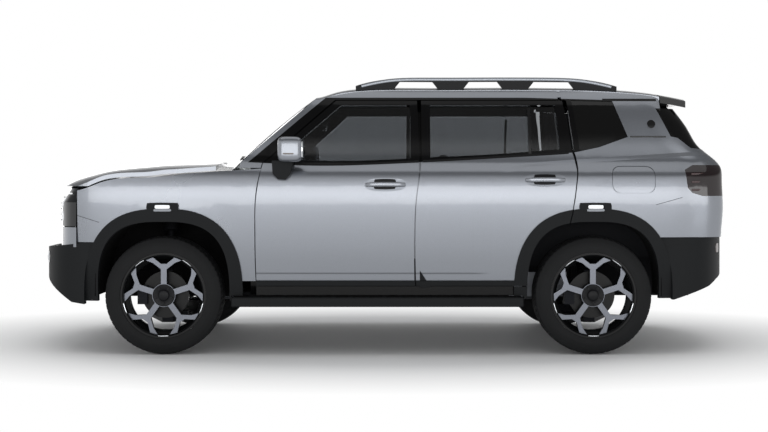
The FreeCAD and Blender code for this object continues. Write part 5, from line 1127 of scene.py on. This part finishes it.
# Each screen's Y, Z, half width and half height
SCREENS = ((0.0, 1.205, 0.150, 0.062), (-0.36, 1.190, 0.140, 0.045))
SCREEN_X, SCREEN_SLOPE, SCREEN_WALL = -0.575, 0.12, 0.014
INSIDE_MIRROR, INSIDE_MIRROR_X, INSIDE_MIRROR_Z = (0.115, 0.032), -0.405, 1.475


def make_cabin():
    """Screen, instruments and the mirror inside."""
    forms = []
    for y, z, half_wide, half_high in SCREENS:
        wide, tall = pad(half_wide, half_high, 0.2, 9)[:2]
        outer = np.stack([SCREEN_X + SCREEN_SLOPE * tall, y + wide, z + tall], axis=-1)
        forms.append(plate(outer, outer - (SCREEN_WALL, 0, 0)))
    piece("cabin_screens", forms, "screen", "body")
    wide, tall = pad(*INSIDE_MIRROR, 0.5, 11)[:2]
    outer = np.stack([INSIDE_MIRROR_X + 0.05 * tall, wide, INSIDE_MIRROR_Z + tall], axis=-1)
    stem = swept(np.linspace((-0.424, 0.0, 1.480), (-0.520, 0.0, 1.515), 18),
                 oval(0.007, 0.0056, 12, 3.0))
    piece("cabin_mirror", [plate(outer, outer - (0.022, 0, 0)), stem], "gloss_black", "body")


DISC_PLACE, DISC_RADIUS = (1.700, 1.455), 0.026
PILLAR_LINE, PILLAR_LINE_Z = (1.560, 1.790), 1.3715
SEAMS = (((1.700, 0.942), (1.868, 0.988)), ((-1.935, 0.876), (-1.790, 0.832)))
REAR_DOOR_EDGE = [(0.972, 1.1895), (1.0969, 1.2057), (1.1916, 1.2090), (1.2743, 1.1900),
                  (1.437, 1.1620), (1.517, 1.1505), (1.60, 1.1240)]


def make_panel_lines():
    """Plain discs and lines on the rear pillars, seams, seals and the slot beside the roof."""
    disc = side_pad(*DISC_PLACE, DISC_RADIUS, DISC_RADIUS, 0.003, 0.005, 1.0, 0.001)
    piece("pillar_discs", both([disc]), "gloss_black", "body")
    xs = np.linspace(*PILLAR_LINE, 20)
    line = swept(skin_points(xs, np.full_like(xs, PILLAR_LINE_Z), 0.0002),
                 oval(0.0012, 0.0058, 8, 3.0))
    piece("pillar_lines", both([line]), "gloss_black", "body")
    seams = [swept(skin_points(*np.linspace(start, end, 16).T), oval(0.0008, 0.0014, 8))
             for start, end in SEAMS]
    piece("panel_seams", both(seams), "seal", "body")
    zs = np.linspace(0.960, 1.615, 60)
    seal = swept(skin_points(spline(REAR_DOOR_EDGE)(zs), zs, -0.0125), oval(0.0070, 0.0035, 12),
                 (0, 1, 0))
    piece("rear_door_seals", both([seal]), "seal", "body")
    outer = skin_points(*np.meshgrid(np.linspace(1.085, 1.185, 9), np.linspace(1.6300, 1.672, 7),
                                     indexing="ij"), -0.0012)
    piece("roof_side_fills", both([plate(outer, outer + (0, 0.004, 0))]), "frame", "body")


GRILLE_HALF, GRILLE_LOW, GRILLE_TOP = 0.612, 0.840, 0.985
LAMP_Y, LAMP_ROWS, LAMP_STRIP_Z = -0.752, (0.868, 0.958), 1.012
SKID_HALF, SKID_TOP, SKID_TOP_X, SKID_SLOPE = 0.36, 0.4995, -2.226, 1.496
FOG_PLACE, PLATE_HALF = (-0.66, 0.605), (0.26, 0.056)


def on_nose(ys, zs, lift):
    """Points on the face of the grille and lamps, lifted backwards off it."""
    ys, zs = np.broadcast_arrays(ys, zs)
    return np.stack([nose_x(ys, zs) + lift, ys, zs], axis=-1)


def make_grille():
    """Level bars and thinner uprights across the grille, and a seal below them."""
    ys = np.linspace(-GRILLE_HALF, GRILLE_HALF, 41)
    bars = [swept(on_nose(ys, z, 0.001), oval(0.0075, 0.006, 12, 3.0))
            for z in np.linspace(GRILLE_LOW, GRILLE_TOP, 5)]
    zs = np.linspace(GRILLE_LOW - 0.012, GRILLE_TOP + 0.005, 12)
    bars += [swept(on_nose(y, zs, 0.003), oval(0.005, 0.005, 10, 3.0), (0, 1, 0))
             for y in np.linspace(-0.56, 0.56, 15)]
    piece("grille_bars", bars, "smooth_black", "body")
    outer = on_nose(*np.meshgrid(np.linspace(-0.86, 0.86, 61), np.linspace(0.785, 0.822, 3),
                                 indexing="ij"), 0.016)
    piece("nose_seal", [plate(outer, outer + (0.004, 0, 0))], "seal", "body")


def make_front_lamps():
    """Two ringed lenses and a light strip in each headlamp, and the fog lamps below."""
    turn = np.linspace(0, 2 * np.pi, 48, endpoint=False)
    rings = [swept(on_nose(LAMP_Y + 0.040 * np.cos(turn), z + 0.034 * np.sin(turn), 0.0005),
                   oval(0.003, 0.003, 10), (1, 0, 0.2), closed=True) for z in LAMP_ROWS]
    strip = swept(on_nose(np.linspace(-0.66, -0.835, 20), LAMP_STRIP_Z, 0.0005),
                  oval(0.003, 0.005, 10, 3.0))
    lenses = [end_pad(LAMP_Y, z, 0.028, 0.024, on_fascia, 0.0005, 0.004, 1.0, 0.003)
              for z in LAMP_ROWS]
    piece("lamp_rings", both(rings + [strip]), "white_lens", "body")
    piece("lamp_lenses", both(lenses), "clear_lens", "body")
    recess = end_pad(*FOG_PLACE, 0.055, 0.040, on_front_bumper, 0.003, 0.008, 0.5)
    piece("fog_recesses", both([recess]), "gloss_black", "body")
    lens = end_pad(*FOG_PLACE, 0.026, 0.026, on_front_bumper, 0.006, 0.006, 1.0, 0.004)
    piece("fog_lenses", both([lens]), "clear_lens", "body")


def make_nose():
    """Grille, lamps, blank plate, and the skid plate: a slope with its sides bent back."""
    make_grille()
    make_front_lamps()
    blank = end_pad(0.0, 0.584, *PLATE_HALF, on_front_bumper, 0.010, 0.009, 0.06)
    piece("front_plate", [blank], "plate", "body")
    ys, zs = np.meshgrid(np.linspace(-SKID_HALF, SKID_HALF, 25), np.linspace(0.350, 0.424, 7),
                         indexing="ij")
    lower = SKID_TOP_X + (SKID_TOP - zs) * SKID_SLOPE + 0.05 * (ys / SKID_HALF) ** 2
    outer = np.stack([lower, ys, zs], axis=-1)
    piece("skid_plate", [plate(outer, outer + (0.008, 0, 0.004))], "steel", "body")


STOP_LAMP_X, STOP_LAMP_BOW = 1.941, 0.018


def on_tail_top(y, z):
    """Face under the spoiler that carries the stop lamp: a shallow parabola across."""
    return 0 * y + STOP_LAMP_X - STOP_LAMP_BOW * (y / 0.5) ** 2


def make_tail():
    """Lamp bars, reflectors, blank plate in its recess, rear handle and stop lamp."""
    xs = np.linspace(1.93, 2.06, 16)
    bars = [swept(skin_points(xs, np.full_like(xs, z), 0.0008), oval(0.002, 0.007, 10, 3.0))
            for z in (1.035, 1.085, 1.135)]
    piece("tail_lamp_bars", both(bars), "dim_red", "body")
    reflector = end_pad(-0.735, 0.664, 0.028, 0.029, on_rear_bumper, 0.002, 0.006, 0.4)
    piece("rear_reflectors", both([reflector]), "dim_red", "body")
    for name, form, finish, slot in (
            ("rear_plate_recess", end_pad(0.0, 0.915, 0.29, 0.078, on_tail, 0.002, 0.006, 0.12),
             "gloss_black", "dark_plastic"),
            ("rear_plate", end_pad(0.0, 0.905, *PLATE_HALF, on_tail, 0.006, 0.004, 0.06),
             "plate", "clear_lamp"),
            ("rear_handle", end_pad(0.0, 1.010, 0.10, 0.012, on_tail, 0.008, 0.010, 0.4),
             "gloss_black", "dark_plastic"),
            ("stop_lamp", end_pad(0.0, 1.578, 0.17, 0.010, (on_tail_top, 1), 0.001, 0.006, 0.3),
             "red_lens", "red_lamp")):
        piece(name, [form], finish, "tailgate")


class MakeStage(bpy.types.Operator):
    """Makes the floor, world, lamps and camera."""
    bl_idname = "vehicle.stage"
    bl_label = "Stage"

    def execute(self, context):
        make_floor()
        make_world()
        make_lamps()
        make_camera()
        return {"FINISHED"}


class MakeFinishes(bpy.types.Operator):
    """Makes every material of the car."""
    bl_idname = "vehicle.finishes"
    bl_label = "Finishes"

    def execute(self, context):
        make_finishes()
        return {"FINISHED"}


class DressNodes(bpy.types.Operator):
    """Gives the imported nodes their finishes."""
    bl_idname = "vehicle.dress_nodes"
    bl_label = "Dress nodes"

    def execute(self, context):
        dress_nodes()
        return {"FINISHED"}


class MakeWheels(bpy.types.Operator):
    """Makes the tyres with cut treads, the hub caps, nuts and slivers."""
    bl_idname = "vehicle.wheels"
    bl_label = "Wheels"

    def execute(self, context):
        make_tyres()
        make_wheel_trim()
        return {"FINISHED"}


class MakeSeats(bpy.types.Operator):
    """Makes the crowned seat cushions and headrest posts."""
    bl_idname = "vehicle.seats"
    bl_label = "Seats"

    def execute(self, context):
        make_seats()
        return {"FINISHED"}


class MakeDoorTrim(bpy.types.Operator):
    """Makes the doors' handles, mirrors, belt seals, division bars and corners."""
    bl_idname = "vehicle.door_trim"
    bl_label = "Door trim"

    def execute(self, context):
        make_handles()
        make_mirrors()
        make_seals()
        make_window_trim()
        return {"FINISHED"}


class MakeBodyTrim(bpy.types.Operator):
    """Makes the arch markers, step pads, rail strips and panel lines."""
    bl_idname = "vehicle.body_trim"
    bl_label = "Body trim"

    def execute(self, context):
        make_markers()
        make_steps()
        make_rails()
        make_panel_lines()
        return {"FINISHED"}


class MakeWipers(bpy.types.Operator):
    """Makes the wiper blades and arms on the windscreen and the tailgate."""
    bl_idname = "vehicle.wipers"
    bl_label = "Wipers"

    def execute(self, context):
        make_wipers()
        return {"FINISHED"}


class MakeCabin(bpy.types.Operator):
    """Makes the screens and the mirror inside."""
    bl_idname = "vehicle.cabin"
    bl_label = "Cabin"

    def execute(self, context):
        make_cabin()
        return {"FINISHED"}


class MakeNose(bpy.types.Operator):
    """Makes the grille bars, front lamps, blank plate and skid plate."""
    bl_idname = "vehicle.nose"
    bl_label = "Nose"

    def execute(self, context):
        make_nose()
        return {"FINISHED"}


class MakeTail(bpy.types.Operator):
    """Makes the rear lamps, blank plate and handle."""
    bl_idname = "vehicle.tail"
    bl_label = "Tail"

    def execute(self, context):
        make_tail()
        return {"FINISHED"}


OPERATORS = [MakeStage, MakeFinishes, DressNodes, MakeWheels, MakeSeats, MakeDoorTrim,
             MakeBodyTrim, MakeWipers, MakeCabin, MakeNose, MakeTail]


class VehiclePanel(bpy.types.Panel):
    """Lists the pieces in the sidebar."""
    bl_label = "Vehicle"
    bl_idname = "VEHICLE_PT_panel"
    bl_space_type = "VIEW_3D"
    bl_region_type = "UI"
    bl_category = "Vehicle"

    def draw(self, context):
        for made in OPERATORS:
            self.layout.operator(made.bl_idname)


CLASSES = [VehicleColours, VehicleSizes, VehiclePanel] + OPERATORS


def register():
    for made in CLASSES:
        bpy.utils.register_class(made)
    bpy.types.Scene.vehicle_colours = bpy.props.PointerProperty(type=VehicleColours)
    bpy.types.Scene.vehicle_sizes = bpy.props.PointerProperty(type=VehicleSizes)


def unregister():
    del bpy.types.Scene.vehicle_colours
    del bpy.types.Scene.vehicle_sizes
    for made in reversed(CLASSES):
        bpy.utils.unregister_class(made)


def plain(box):
    return [[float(v) for v in corner] for corner in box]


def main():
    register()
    for made in OPERATORS:
        group, name = made.bl_idname.split(".")
        getattr(getattr(bpy.ops, group), name)()


if __name__ == "__main__":
    main()
